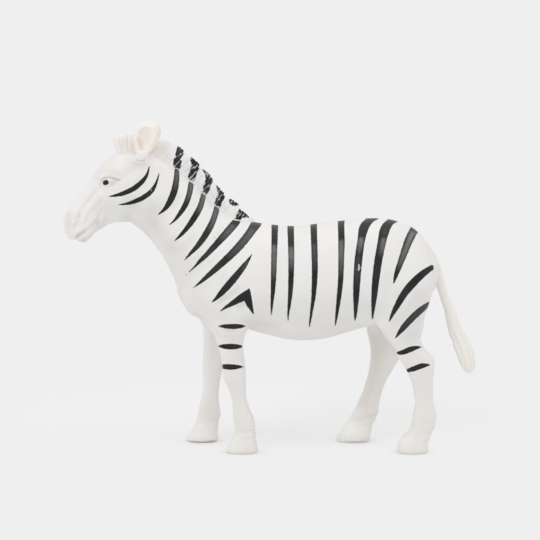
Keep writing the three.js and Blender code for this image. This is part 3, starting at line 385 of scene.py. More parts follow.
# Where the plastic is tinted, and where painted shade and painted light lie in its colour: strokes in
# the picture, the tint, then its strength
TINTS_AND_PAINTED_LIGHT = [
    # Round the eye, with painted shade along the lids, in the eye's corner and over the brow's front,
    # and amber tints on the brow
    ([(99.8, 185.6, 0.8), (100.3, 182, 0.7), (102, 179.3, 0.7), (105, 177.9, 0.7)], UMBER_SHADE_AND_DIRT, 0.08),
    ([(105, 177.9, 0.8), (110, 177.5, 0.8), (114, 178.6, 1.1), (119, 180, 0.9)], UMBER_SHADE_AND_DIRT, 0.26),
    ([(109, 182.6, 2.0), (111.5, 182.6, 2.2), (114.5, 181.8, 1.8)], SHADE, 1.0),
    ([(113.4, 179, 1.2), (116, 179.6, 1.3), (118.6, 180, 1.0)], UMBER_SHADE_AND_DIRT, 0.22),
    ([(99.2, 185, 0.7), (101, 187, 0.7)], BROWN_SHADE, 0.3),
    ([(104, 187.5, 0.5), (108.6, 186.8, 0.5), (113, 184.8, 0.5)], BROWN_SHADE, 0.2),
    ([(109.2, 185, 0.9), (112, 184.6, 0.9)], OLIVE, 0.3),
    ([(108.4, 172, 1.8), (110.6, 169.6, 2.2)], AMBER, 0.2),
    ([(112.6, 171.8, 1.5), (114.8, 169.8, 1.8)], AMBER, 0.14),
    ([(96, 178, 5), (103, 167, 6), (112, 160, 6)], SHADE, 0.28),
    ([(110, 174, 3), (117, 172.6, 3.4)], (0.96, 0.92, 0.88), 0.8),
    # Muzzle, with painted shade over its front, round the nostril, in the mouth's line and corner, in
    # its folds and groove, and under the chin, and amber and rose tints
    ([(68.4, 214.5, 1.4), (68.0, 220, 1.6), (68.6, 226, 1.4)], AMBER, 0.16),
    ([(67.6, 213, 2.2), (68, 219, 3.0), (68.6, 227, 2.4)], (0.91, 0.89, 0.88), 0.8),
    ([(73.5, 215, 2.6), (73.4, 220, 3.0), (72.4, 225, 2.6)], AMBER, 0.1),
    ([(79, 215, 1.4), (77.6, 221, 1.7), (73.4, 226.5, 1.4)], ASH_SHADE, 0.6),
    ([(95.6, 222.4, 1.3), (98.4, 221.4, 1.3)], UMBER_SHADE_AND_DIRT, 0.12),
    ([(104, 206, 7), (105, 214, 7), (104, 220, 6)], SHADE, 0.4),
    ([(99, 199, 4), (94, 209, 5)], SHADE, 0.28),
    ([(76.5, 237.5, 0.8), (79, 235.5, 1.2), (84.5, 232, 0.9)], UMBER_SHADE_AND_DIRT, 0.42),
    ([(79.4, 242, 2.2), (84, 240, 2.4)], SHADE, 0.7),
    ([(84.5, 231.5, 0.7), (88.5, 229, 0.6), (92, 226.6, 0.5)], BROWN_SHADE, 0.06),
    ([(91.5, 224, 2.0), (95.4, 221.8, 2.4), (98, 219.6, 1.8)], BROWN_SHADE, 0.2),
    ([(96.2, 214, 0.6), (96, 208, 0.5)], BROWN_SHADE, 0.12),
    ([(98.4, 226, 2.6), (102.6, 228.6, 2.8)], VIOLET_SHADE, 0.45),
    ([(82, 242, 3.0), (92, 238, 3.4), (101, 231, 3.2)], ROSE, 0.25),
    ([(94.6, 190, 1.6), (90, 197, 1.9), (84, 203, 1.9), (79.4, 209, 1.5)], BROWN_SHADE, 0.1),
    # Cheek, throat and chest: painted shade on the cheek, throat, neck and chest, between the stripes,
    # in the mane's gaps and in the crease by the foreleg, painted light along the chest's front edge,
    # rose tints and two specks of dirt
    ([(125, 221, 4), (138, 226, 5), (147, 236, 5)], VIOLET_SHADE, 0.3),
    ([(112, 206, 7), (122, 211, 9), (136, 217, 10), (148, 224, 11)], SHADE, 0.45),
    ([(128, 200, 6), (142, 207, 8), (153, 211, 10), (160, 206, 9)], SHADE, 0.6),
    ([(154, 224, 9), (162, 236, 10), (170, 250, 9)], MAUVE_SHADE, 0.75),
    ([(172, 246, 9), (180, 256, 10), (190, 268, 12)], SHADE, 0.45),
    ([(184, 247, 5), (193, 238, 5)], SHADE, 0.4),
    ([(172, 268, 9), (184, 286, 11), (204, 306, 12), (224, 316, 10)], SHADE, 0.5),
    ([(206, 262, 9), (228, 286, 10)], SHADE, 0.28),
    ([(243, 229, 3.4), (226, 248, 3.6), (210, 262, 3.4)], SHADE, 0.3),
    ([(222, 228, 3), (206, 246, 3.2), (196, 257, 3)], SHADE, 0.22),
    ([(198, 192, 3), (191, 210, 3.4), (182, 224, 3)], SHADE, 0.25),
    ([(221, 300, 3.0), (229, 295.6, 3.4), (238, 288, 2.8)], SHADE, 0.6),
    ([(238, 306, 3.2), (243, 303.4, 3.2)], SHADE, 0.45),
    ([(270, 262, 9), (266, 288, 8)], SHADE, 0.1),
    ([(219, 301.4, 2.6), (226, 297, 2.8)], SHADE, 0.45),
    ([(239, 306, 3), (244, 304, 3)], SHADE, 0.45),
    ([(209, 283, 4), (202, 287, 4)], SHADE, 0.4),
    ([(179, 195, 3), (174, 206, 3.4)], SHADE, 0.4),
    ([(150, 199, 4), (154, 209, 5)], SHADE, 0.35),
    # Painted light along the chest's front edge
    ([(166, 238, 5), (176, 262, 6), (187, 290, 6), (199, 312, 5)], (1.035, 1.035, 1.035), 0.9),
    ([(186, 160, 3), (190, 170, 3)], SHADE, 0.6),
    ([(199, 170, 2.5), (201, 176, 2.5)], SHADE, 0.5),
    ([(152, 252, 5), (160, 268, 5), (170, 282, 5)], ROSE, 0.15),
    ([(176, 292, 5), (190, 306, 5), (206, 316, 5)], ROSE, 0.15),
    # Two specks of dirt on the chest
    ([(186, 274.6, 0.6), (186.6, 275.2, 0.6)], UMBER_SHADE_AND_DIRT, 0.6),
    ([(214.7, 237.6, 0.5), (214.9, 238, 0.5)], UMBER_SHADE_AND_DIRT, 0.7),
    ([(202.7, 317.7, 1.8), (210, 324, 2.0), (218.6, 335, 1.6)], MAUVE_SHADE, 0.4),
    # Ear and forelock: the ear's dark glue line at its foot, painted shade below the ear, on the
    # temple, in the ear's bowl and crease and along the mane's foot, painted light where the ear meets
    # the mane and on the ear's near rim, and warm tints
    ([(136.5, 160.3, 0.8), (140, 160.7, 0.9), (144, 160.3, 0.8)], UMBER_SHADE_AND_DIRT, 0.25),
    ([(133, 162.5, 2.4), (138, 164, 3.0), (144, 163.4, 2.4)], ASH_SHADE, 0.5),
    ([(128, 161, 4), (136, 165, 5), (147, 165, 5)], ASH_SHADE, 0.5),
    ([(142, 168, 4), (132, 170, 4.5), (122, 176, 4)], ASH_SHADE, 0.3),
    ([(155, 150, 4), (163, 147, 5)], AMBER, 0.12),
    ([(150, 153, 4.5), (156, 147, 5), (160, 141, 4)], (1.08, 1.08, 1.085), 0.9),
    ([(136, 139, 4), (136.5, 146, 4)], (1.04, 1.04, 1.04), 0.9),
    ([(138.6, 139, 2.2), (140.4, 143.4, 2.8), (141.6, 148, 2.2)], BROWN_SHADE, 0.36),
    ([(141, 130.5, 5), (147, 132.5, 5.5), (146, 139, 5)], BROWN_SHADE, 0.13),
    ([(156, 130, 2.0), (157.6, 138, 2.2), (156.6, 147, 2.0)], AMBER, 0.15),
    ([(153, 150, 0.8), (148, 155.6, 1.0), (144, 160.6, 0.8)], BROWN_SHADE, 0.12),
    ([(121.4, 138, 0.8), (122.2, 144, 0.8)], AMBER, 0.15),
    ([(126, 138, 0.8), (126.6, 144, 0.8)], AMBER, 0.15),
    ([(130.2, 138, 1.0), (130.8, 148, 1.0)], AMBER, 0.16),
    ([(117, 142, 6), (126, 145, 8), (134, 147, 6)], (0.95, 0.91, 0.88), 0.9),
    ([(151, 143, 6), (160, 147, 6), (166, 152, 4)], (0.97, 0.955, 0.92), 0.9),
    ([(168, 158, 4), (173, 161, 4.5), (184, 169, 5), (192, 177, 5), (204, 188, 5),
      (211, 194, 5), (218, 201, 5), (226, 208, 5)], SHADE, 0.55),
    # Back, rump and belly: painted shade on the rump, the back, the lower barrel, the haunch and flank
    # and behind the elbow, painted light under the belly and at the top of the far hind leg, and warm
    # and rose tints
    ([(300, 224, 8), (340, 221, 8)], AMBER, 0.1),
    ([(392, 232, 9), (410, 234, 9)], SHADE, 0.18),
    ([(392, 240, 10), (424, 250, 11)], AMBER, 0.05),
    ([(258, 304, 12), (300, 306, 14), (350, 304, 14), (378, 308, 10)], SHADE, 0.42),
    ([(256, 314, 7), (300, 320, 8), (330, 321, 9), (352, 320, 7)], SHADE, 0.25),
    ([(402, 318, 9), (418, 296, 9), (408, 336, 9)], SHADE, 0.6),
    ([(389, 274, 6), (388, 300, 8), (394, 326, 7)], SHADE, 0.34),
    ([(352, 226, 6), (352, 250, 6)], SHADE, 0.14),
    ([(401, 284, 4), (396, 297, 4)], SHADE, 0.3),
    ([(371, 327, 5), (378, 338, 6)], (1.09, 1.085, 1.08), 0.9),
    ([(283, 228, 7), (283, 262, 7), (306, 230, 7)], SHADE, 0.14),
    ([(350, 320, 7), (372, 321, 6)], (1.03, 1.03, 1.03), 0.8),
    ([(240, 322, 4), (257, 322.5, 5), (276, 326, 4)], MAUVE_SHADE, 0.6),
    ([(300, 330, 5), (340, 331, 5)], ROSE, 0.15),
    # Legs: painted shade in the creases and folds, round the near foreleg's top and on the far hind
    # leg, painted contact shadows under the far hooves, painted light on the hooves and the far
    # foreleg, warm tints, and amber dirt along the near soles
    ([(225.6, 330.4, 0.7), (231, 331.4, 0.8), (236, 330.8, 0.7)], BROWN_SHADE, 0.12),
    ([(230, 332, 9), (232, 344, 8), (234, 356, 7)], ASH_SHADE, 0.45),
    ([(231, 372, 8), (236, 400, 9), (241, 425, 9), (244, 446, 9)], FLESH, 0.9),
    ([(412, 352, 11), (422, 378, 9), (424, 410, 9), (416, 445, 11)], FLESH, 0.9),
    ([(208, 345, 7), (209, 385, 7), (206, 415, 8)], FLESH, 1.0),
    ([(378, 345, 10), (377, 362, 9), (370, 388, 9), (364, 402, 7)], DUSK_SHADE, 0.9),
    ([(370, 412, 8), (360, 425, 9)], FLESH, 0.9),
    # Painted light on the hooves and the far foreleg
    ([(204, 435, 9), (213, 436, 8)], (1.08, 1.085, 1.08), 0.9),
    ([(208, 372, 9), (209, 392, 9)], (1.04, 1.035, 1.045), 0.9),
    ([(234, 443, 9), (247, 445, 9)], (1.04, 1.03, 1.03), 0.9),
    ([(405, 443, 10), (420, 445, 9)], (1.06, 1.05, 1.05), 0.9),
    ([(350, 430, 9), (361, 431, 9)], (1.14, 1.13, 1.11), 0.9),
    # Painted contact shadows on the ground under the far hooves
    ([(191, 441.4, 0.7), (198, 442.2, 1.0), (206, 442.4, 1.4), (214, 441, 1.2)], UMBER_SHADE_AND_DIRT, 0.55),
    ([(345, 440.6, 0.7), (351, 441.6, 0.9), (358, 441.8, 0.9), (364, 440.6, 0.7)], VIOLET_SHADE, 0.9),
    ([(372, 324.7, 1.5), (381, 333.6, 1.8), (397, 353, 1.5)], BROWN_SHADE, 0.08),
    ([(205, 425, 0.8), (212, 424.6, 0.8)], BROWN_SHADE, 0.06),
    ([(236, 430.4, 1.1), (249, 431, 1.1)], AMBER, 0.08),
    ([(236, 436.6, 1.2), (248, 437.6, 1.2)], BROWN_SHADE, 0.08),
    ([(416, 437, 1.0), (426, 438.6, 1.0)], BROWN_SHADE, 0.08),
    ([(232, 451.4, 0.9), (240, 452.6, 0.9), (249, 451.8, 0.9)], AMBER, 0.3),
    ([(404, 451, 0.8), (414, 452.2, 0.8), (425, 451.6, 0.9)], AMBER, 0.15),
    ([(433.4, 415, 1.3), (432.6, 424, 1.6)], AMBER, 0.12),
    # Tail: a rose line at the root's joint, painted shade in the root's grooves and along the tail, and
    # an amber tint
    ([(433, 270, 0.8), (434.4, 278, 0.9), (436, 286, 0.8)], ROSE, 0.25),
    ([(438, 277, 0.8), (437.8, 284, 0.8)], BROWN_SHADE, 0.15),
    ([(440, 294, 1.2), (449, 318, 1.4), (454, 342, 1.4)], BROWN_SHADE, 0.06),
    ([(466, 352, 2.4), (471.6, 364, 2.4)], AMBER, 0.12),
]


def smooth_rows(rows, count):
    """A smooth run of stations through the rows, which it meets in order."""
    rows = np.asarray(rows, float)
    last = len(rows) - 1
    place = np.linspace(0, last, count)
    start = np.minimum(place.astype(int), last - 1)
    t = (place - start)[:, None]
    a, b, c, d = (rows[np.clip(start + n, 0, last)] for n in (-1, 0, 1, 2))
    bend = (2 * a - 5 * b + 4 * c - d) * t**2 + (3 * b - a - 3 * c + d) * t**3
    return b + ((c - a) * t + bend) / 2


def rounded(value, fullness=FULLNESS):
    """Bends a sine or cosine towards a fuller oval, where a fullness of 2 is an ellipse."""
    return np.sign(value) * np.abs(value) ** (2 / fullness)


def oval_rings(centres, deep, wide, sides, fullness=FULLNESS):
    """One oval ring round each centre, with half sizes deep and wide, both vectors."""
    turn = np.linspace(0, 2 * math.pi, sides, endpoint=False)
    return (centres[:, None]
            + rounded(np.cos(turn), fullness)[None, :, None] * deep[:, None]
            + rounded(np.sin(turn), fullness)[None, :, None] * wide[:, None])


def level_rings(centres, deep, wide, sides, fullness=FULLNESS):
    """Oval rings that lie level, with half sizes deep along X and wide along Y."""
    return oval_rings(centres, np.outer(deep, [1, 0, 0]), np.outer(wide, [0, 1, 0]), sides, fullness)


def loft(rings):
    """The corners and faces of a closed skin over a run of rings."""
    count, sides, _ = rings.shape
    points = np.vstack([rings.reshape(-1, 3), rings[0].mean(0), rings[-1].mean(0)])
    i, j = np.meshgrid(np.arange(count - 1), np.arange(sides), indexing="ij")
    here, beside = i * sides + j, i * sides + (j + 1) % sides
    quads = np.stack([here, beside, beside + sides, here + sides], -1).reshape(-1, 4)
    around = np.arange(sides)
    after = (around + 1) % sides
    first, second = len(points) - 2, len(points) - 1
    base = (count - 1) * sides
    caps = [(first, b, a) for a, b in zip(around, after)]
    caps += [(second, base + a, base + b) for a, b in zip(around, after)]
    return points, quads.tolist() + [tuple(map(int, cap)) for cap in caps]


class SideFrame:
    """A side view's frame: an origin, a direction along the form and one across it."""

    def __init__(self, origin, degrees, length, depth):
        turn = math.radians(degrees)
        self.origin = np.asarray(origin, float)
        self.along = np.array([math.cos(turn), 0, math.sin(turn)]) * length
        self.across = np.array([-math.sin(turn), 0, math.cos(turn)]) * depth

    def at(self, along, across):
        """Places on the middle plane, from shares of the form's length and depth."""
        return (self.origin + np.multiply.outer(along, self.along)
                + np.multiply.outer(across, self.across))


chest_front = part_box("torso_left_shell")[0].x / MM
torso_frame = SideFrame((chest_front, 0, BELLY_HEIGHT), 0, TORSO_LENGTH, BARREL_DEPTH)
neck_rise = math.radians(NECK_RISE)
neck_line = np.array([math.cos(neck_rise), 0, math.sin(neck_rise)])
poll = torso_frame.at(*NECK_BASE_SHARES) + NECK_LENGTH * neck_line
neck_frame = SideFrame(poll, NECK_RISE - 180, NECK_LENGTH, NECK_DEPTH)
head_at_origin = SideFrame((0, 0, 0), HEAD_RISE, HEAD_LENGTH, HEAD_DEPTH)
muzzle = poll - head_at_origin.at(*POLL_IN_HEAD_SHARES)
head_frame = SideFrame(muzzle, HEAD_RISE, HEAD_LENGTH, HEAD_DEPTH)
carriers = {"torso": torso_frame, "neck": neck_frame, "head": head_frame}
neck_seam = neck_frame.at(NECK_SEAM_SHARE, 0)
seam_turn = math.radians(NECK_RISE + NECK_SEAM_TILT)
neck_seam_up = np.array([math.cos(seam_turn), 0, math.sin(seam_turn)])


def body_loft(form_frame, shares, width, stations, sides):
    """A form of the body, from rows of shares along it: lower line, upper line and width."""
    rows = smooth_rows(shares, stations)
    under = form_frame.at(rows[:, 0], rows[:, 1])
    over = form_frame.at(rows[:, 0], rows[:, 2])
    wide = np.outer(rows[:, 3] * width / 2, [0, 1, 0])
    return loft(oval_rings((under + over) / 2, (over - under) / 2, wide, sides))


def leg_stations(leg, count):
    """Rows from the sole up: the leg's middle, then its half depth and half width there."""
    side, place, height, reach, shares, sizes = leg
    rows = [
        (place + back * height + swing * reach,
         side * (STANCE_WIDTH + (HIP_SPAN - STANCE_WIDTH) * drawn_in) / 2,
         up * height, depth * sizes[joint][0] / 2, width * sizes[joint][1] / 2)
        for joint, up, back, swing, depth, width, drawn_in in shares
    ]
    return smooth_rows(rows, count)


def leg_loft(leg, stations, sides):
    """A leg from its sole up into the body."""
    rows = leg_stations(leg, stations)
    return loft(level_rings(rows[:, :3], rows[:, 3], rows[:, 4], sides))


foreleg_place = torso_frame.at(FORELEG_PLACE_SHARE, 0)[0]
hind_leg_place = torso_frame.at(HIND_LEG_PLACE_SHARE, 0)[0]
fore = (foreleg_place, ELBOW_HEIGHT)
hind = (hind_leg_place, STIFLE_HEIGHT)
LEGS = {
    "left_foreleg": (-1, *fore, FORELEG_REACH, LEFT_FORELEG_SHARES + SHOULDER_SHARES, FORELEG_SIZES),
    "right_foreleg": (1, *fore, -FORELEG_REACH, RIGHT_FORELEG_SHARES + SHOULDER_SHARES, FORELEG_SIZES),
    "left_hind_leg": (-1, *hind, HIND_LEG_REACH, LEFT_HIND_LEG_SHARES + THIGH_SHARES, HIND_LEG_SIZES),
    "right_hind_leg": (1, *hind, -HIND_LEG_REACH, RIGHT_HIND_LEG_SHARES + THIGH_SHARES, HIND_LEG_SIZES),
}


def ball(centre, radius, stations, sides):
    """A round ball, for an eye."""
    turn = np.linspace(0, math.pi, stations + 2)[1:-1]
    centres = centre + np.outer(-np.cos(turn), [0, 0, radius])
    size = radius * np.sin(turn)
    return loft(level_rings(centres, size, size, sides, fullness=2))


def merged(parts):
    """Several forms as one list of corners and faces."""
    corners, faces, offset = [], [], 0
    for points, part_faces in parts:
        corners.append(points)
        faces += [tuple(n + offset for n in face) for face in part_faces]
        offset += len(points)
    return np.vstack(corners), faces


def add_object(name, data):
    """A new object in the scene that shows the data."""
    made = bpy.data.objects.new(name, data)
    bpy.context.scene.collection.objects.link(made)
    return made


def mesh_object(name, points, faces):
    """A mesh object from corners in millimetres."""
    mesh = bpy.data.meshes.new(name)
    mesh.from_pydata((points * MM).tolist(), [], faces)
    return add_object(name, mesh)


def read_rows(items, field, kind=float):
    """A field of three numbers from each of a mesh's items, as rows."""
    flat = np.empty(len(items) * 3, kind)
    items.foreach_get(field, flat)
    return flat.reshape(-1, 3)


def shown_mesh(source):
    """A new mesh of an object as its modifiers leave it."""
    shown = source.evaluated_get(bpy.context.evaluated_depsgraph_get())
    return bpy.data.meshes.new_from_object(shown)


def take_mesh(source):
    """The corners, in millimetres, and the triangles of an object with its modifiers, which goes."""
    mesh = shown_mesh(source)
    mesh.calc_loop_triangles()
    bpy.data.objects.remove(source)
    return read_rows(mesh.vertices, "co") / MM, read_rows(mesh.loop_triangles, "vertices", int)


# How far one pass brings a corner towards the middle of its neighbours
SOFTENING = 0.5


def add_skin(form, voxel):
    """Covers a form's overlapping parts with one even skin."""
    remesh = form.modifiers.new("skin", "REMESH")
    remesh.mode = "VOXEL"
    remesh.voxel_size = voxel * MM


def add_softening(form, passes):
    """Evens out a form's skin in a number of passes."""
    soften = form.modifiers.new("soften", "SMOOTH")
    soften.factor = SOFTENING
    soften.iterations = passes
    return soften


# Steps from no softening to all of it
SOFT_STEPS = 20
# Passes that soften a reach of one voxel, and the number grows with the square of the reach
PASSES_PER_VOXEL = 4


def blended(points, faces, voxel, reach, weights):
    """The forms joined into one skin and softened, within reach where the weights say."""
    draft = mesh_object("draft", points, faces)
    add_skin(draft, voxel)
    skin = shown_mesh(draft)
    draft.modifiers.clear()
    draft.data = skin
    group = draft.vertex_groups.new(name="soft")
    steps = np.round(weights(read_rows(skin.vertices, "co") / MM) * SOFT_STEPS).astype(int)
    for step in range(1, SOFT_STEPS + 1):
        group.add(np.flatnonzero(steps == step).tolist(), step / SOFT_STEPS, "REPLACE")
    soften = add_softening(draft, round(PASSES_PER_VOXEL * (reach / voxel) ** 2))
    soften.vertex_group = group.name
    return take_mesh(draft)


def view_place(points):
    """Where points fall in the picture."""
    back = np.array([0, math.cos(VIEW_RISE), -math.sin(VIEW_RISE)])
    up = np.array([0, math.sin(VIEW_RISE), math.cos(VIEW_RISE)])
    offset = points - VIEW_TARGET
    depth = offset @ back + VIEW_DISTANCE
    scale = VIEW_FOCAL_PIXELS / depth
    return np.stack([PICTURE / 2 + offset[:, 0] * scale, PICTURE / 2 - (offset @ up) * scale], -1)


def picture_place(points):
    """Where points on the near side, or mirrored onto it, fall in the picture."""
    return view_place(np.stack([points[:, 0], -np.abs(points[:, 1]), points[:, 2]], -1))


# How far below the belly the far legs' places turn from mirrored ones into their own
FAR_LEG_FADE = 4.0


def seen_place(points):
    """The same, but down the far legs the place where they are seen themselves."""
    lower = np.clip((BELLY_HEIGHT - points[:, 2]) / FAR_LEG_FADE, 0, 1)
    mirrored = -np.abs(points[:, 1])
    across = mirrored + lower * (points[:, 1] - mirrored)
    return view_place(np.stack([points[:, 0], across, points[:, 2]], -1))


# A pixel's size at the figure, in millimetres
PIXEL = VIEW_DISTANCE / VIEW_FOCAL_PIXELS
# Straight steps that a stroke takes for each of its points
STEPS_PER_POINT = 6


def along_stroke(places, stroke, margin):
    """For the places near a stroke: their numbers, their distance to its middle, its half
    width there and the share of its length behind them."""
    run = smooth_rows(stroke, STEPS_PER_POINT * len(stroke))
    low = run[:, :2].min(0) - margin
    high = run[:, :2].max(0) + margin
    near = np.flatnonzero(((places > low) & (places < high)).all(1))
    best = np.full(len(near), np.inf)
    gap = np.full(len(near), np.inf)
    half = np.zeros(len(near))
    behind = np.zeros(len(near))
    here = places[near]
    for step, (start, end) in enumerate(zip(run[:-1], run[1:])):
        span = end[:2] - start[:2]
        t = np.clip(((here - start[:2]) @ span) / max(span @ span, TINY), 0, 1)
        distance = np.linalg.norm(here - start[:2] - t[:, None] * span, axis=1)
        width = start[2] + t * (end[2] - start[2])
        closer = distance - width < best
        best = np.where(closer, distance - width, best)
        gap = np.where(closer, distance, gap)
        half = np.where(closer, width, half)
        behind = np.where(closer, (step + t) / (len(run) - 1), behind)
    return near, gap, half, behind


# How far from a stroke its distance is still measured, in millimetres
PAINT_REACH = 2.0
# Half widths in pixels that no stroke of paint, and no bare line, goes beyond
WIDEST_STROKE, WIDEST_BARE_LINE = 6, 2
# The far stripes move with a leg in full this near to its place, and not at all this far from it
NEAR_LEG, PAST_LEG = 12.0, 24.0
SHIFT_STATIONS = 80


def far_leg_shift(points):
    """How far the far side's stripes move along with its legs, which step the other way."""
    shift = np.zeros(len(points))
    for kind in ("foreleg", "hind_leg"):
        near = leg_stations(LEGS["left_" + kind], SHIFT_STATIONS)
        far = leg_stations(LEGS["right_" + kind], SHIFT_STATIONS)
        near_middle = np.interp(points[:, 2], near[:, 2], near[:, 0])
        far_middle = np.interp(points[:, 2], far[:, 2], far[:, 0])
        away = np.abs(points[:, 0] - LEGS["left_" + kind][1])
        closeness = np.clip((PAST_LEG - away) / (PAST_LEG - NEAR_LEG), 0, 1)
        shift += np.where(points[:, 1] > 0, (near_middle - far_middle) * closeness, 0)
    return shift


def mask_place(points):
    """Where the spray mask for the stripes meets each point, on either side."""
    moved = points.copy()
    moved[:, 0] += far_leg_shift(points)
    return picture_place(moved)


# A stroke's share is followed out to this many of its half widths, and the least of those
SHARE_REACH, LEAST_HALF_WIDTH = 3, 0.3


def stroke_share(places, stroke, taper=0):
    """For the places near a stroke: their numbers and a share from 1 on it fading to 0."""
    widest = max(row[2] for row in stroke)
    near, gap, half, behind = along_stroke(places, stroke, SHARE_REACH * widest)
    fall = np.exp(-(gap / np.maximum(half, LEAST_HALF_WIDTH)) ** 2)
    return near, (1 - taper * behind**2) * fall


def plastic_tint_and_painted_light(places):
    """What the tints, painted shade and painted light among them, leave of the plastic's colour at each
    place.
    """
    tint = np.ones((len(places), 3))
    for stroke, colour, strength in TINTS_AND_PAINTED_LIGHT:
        near, share = stroke_share(places, stroke)
        tint[near] *= 1 + strength * share[:, None] * (np.array(colour) - 1)
    return tint


def painted_sheen(places):
    """How far the painted sheen lightens the paint to grey at each place, from 0 to 1."""
    grey = np.zeros(len(places))
    for stroke, strength in PAINTED_SHEEN_PATCHES:
        near, share = stroke_share(places, stroke, PAINTED_SHEEN_TAPER)
        grey[near] = np.maximum(grey[near], strength * share)
    return grey


def paint_edge(places, strokes):
    """Signed distance in millimetres to the strokes' painted edge, below zero on the paint."""
    edge = np.full(len(places), PAINT_REACH)
    for stroke in strokes:
        near, gap, half, _ = along_stroke(places, stroke, PAINT_REACH / PIXEL + WIDEST_STROKE)
        edge[near] = np.minimum(edge[near], (gap - half) * PIXEL)
    for line in BARE_LINES:
        near, gap, half, _ = along_stroke(places, line, PAINT_REACH / PIXEL + WIDEST_BARE_LINE)
        edge[near] = np.maximum(edge[near], (half - gap) * PIXEL)
    return edge


def vertex_normals(points, triangles):
    """The skin's direction at each corner."""
    a, b, c = (points[triangles[:, n]] for n in range(3))
    face = np.cross(b - a, c - a)
    normals = np.zeros_like(points)
    for n in range(3):
        for axis in range(3):
            normals[:, axis] += np.bincount(triangles[:, n], face[:, axis], len(points))
    return normals / np.maximum(np.linalg.norm(normals, axis=1, keepdims=True), TINY)


# A corner nearer than this to a cut counts as beside it
BESIDE_CUT = 1e-6


def cut(points, triangles, field):
    """The mesh with new corners where the field crosses zero, and each triangle's side of it."""
    field = np.where(np.abs(field) < BESIDE_CUT, BESIDE_CUT, field)
    edges = np.sort(np.vstack([triangles[:, [0, 1]], triangles[:, [1, 2]], triangles[:, [2, 0]]]), 1)
    keys = edges[:, 0] * len(points) + edges[:, 1]
    crossed = field[edges[:, 0]] * field[edges[:, 1]] < 0
    unique, back = np.unique(keys[crossed], return_inverse=True)
    # One new corner on each crossed edge, for the triangles on both sides of it
    start, end = unique // len(points), unique % len(points)
    share = (field[start] / (field[start] - field[end]))[:, None]
    fresh = points[start] + share * (points[end] - points[start])
    middle = np.full(len(keys), -1)
    middle[crossed] = len(points) + back
    middle = middle.reshape(3, -1).T
    above = field[triangles] > 0
    whole = (above == above[:, :1]).all(1)
    parts = [triangles[whole]]
    sides = [above[whole][:, 0]]
    # Where one corner is alone on its side, its tip is cut off and the rest makes two triangles
    for lone in range(3):
        after, before = (lone + 1) % 3, (lone + 2) % 3
        alone = (above[:, lone] != above[:, after]) & (above[:, lone] != above[:, before])
        tip, second, third = (triangles[alone, n] for n in (lone, after, before))
        leaving, returning = middle[alone, lone], middle[alone, before]
        side = above[alone, lone]
        parts += [np.stack([tip, leaving, returning], 1), np.stack([leaving, second, third], 1),
                  np.stack([leaving, third, returning], 1)]
        sides += [side, ~side, ~side]
    return np.vstack([points, fresh]), np.vstack(parts), np.concatenate(sides)


def kept_part(points, triangles, chosen):
    """Only the chosen triangles, with the corners that they use."""
    triangles = triangles[chosen]
    used, renumbered = np.unique(triangles, return_inverse=True)
    return points[used], renumbered.reshape(-1, 3)


def largest_patch(points, triangles, chosen):
    """Of the chosen triangles, only the largest patch of connected ones."""
    patch = triangles[chosen]
    label = np.arange(len(points))
    before = None
    while before is None or (label != before).any():
        before = label.copy()
        np.minimum.at(label, patch, label[patch].min(1, keepdims=True))
        label = label[label]
    _, back, sizes = np.unique(label[patch[:, 0]], return_inverse=True, return_counts=True)
    kept = chosen.copy()
    kept[chosen] = back == sizes.argmax()
    return kept


# How steeply the share of a disc rises from its rim inwards
DISC_RISE = 1.6


def within(places, discs):
    """A share from 0 to 1 near discs of the picture, given by centre and radius in pixels."""
    share = np.zeros(len(places))
    for x, y, radius in discs:
        distance = np.hypot(places[:, 0] - x, places[:, 1] - y)
        share = np.maximum(share, np.clip(DISC_RISE * (1 - distance / radius), 0, 1))
    return share


# Where the forms flow into one another: picture place and radius
BODY_BLENDS = [
    (155, 190, 34), (222, 262, 46), (236, 290, 44), (395, 290, 56),
    (372, 318, 24), (420, 300, 40), (257, 312, 18), (205, 285, 30), (240, 215, 24),
    (134, 219, 20), (146, 232, 18),
]
# How far the forms flow into one another, and the grain of the body's and of the head's skin
BLEND_REACH = 2.1
BODY_VOXEL, HEAD_VOXEL = 0.42, 0.26


def flow(points):
    """How much the forms flow into one another at each point, from 0 to 1."""
    return within(picture_place(points), BODY_BLENDS)


def whole_body(voxel):
    """The torso, neck, head, legs and eyeballs blended into one skin."""
    forms = [
        body_loft(torso_frame, TORSO_SHARES, BARREL_WIDTH, *TORSO_GRID),
        body_loft(neck_frame, NECK_SHARES, NECK_WIDTH, *NECK_GRID),
        body_loft(head_frame, HEAD_SHARES, HEAD_WIDTH, *HEAD_GRID),
        *(leg_loft(leg, *LEG_GRID) for leg in LEGS.values()),
    ]
    along, up, out = EYE_SHARES
    for side in (-1, 1):
        centre = head_frame.at(along, up) + np.array([0, side * out * HEAD_WIDTH, 0])
        forms.append(ball(centre, EYE_RADIUS, *EYE_GRID))
    return blended(*merged(forms), voxel, BLEND_REACH, flow)


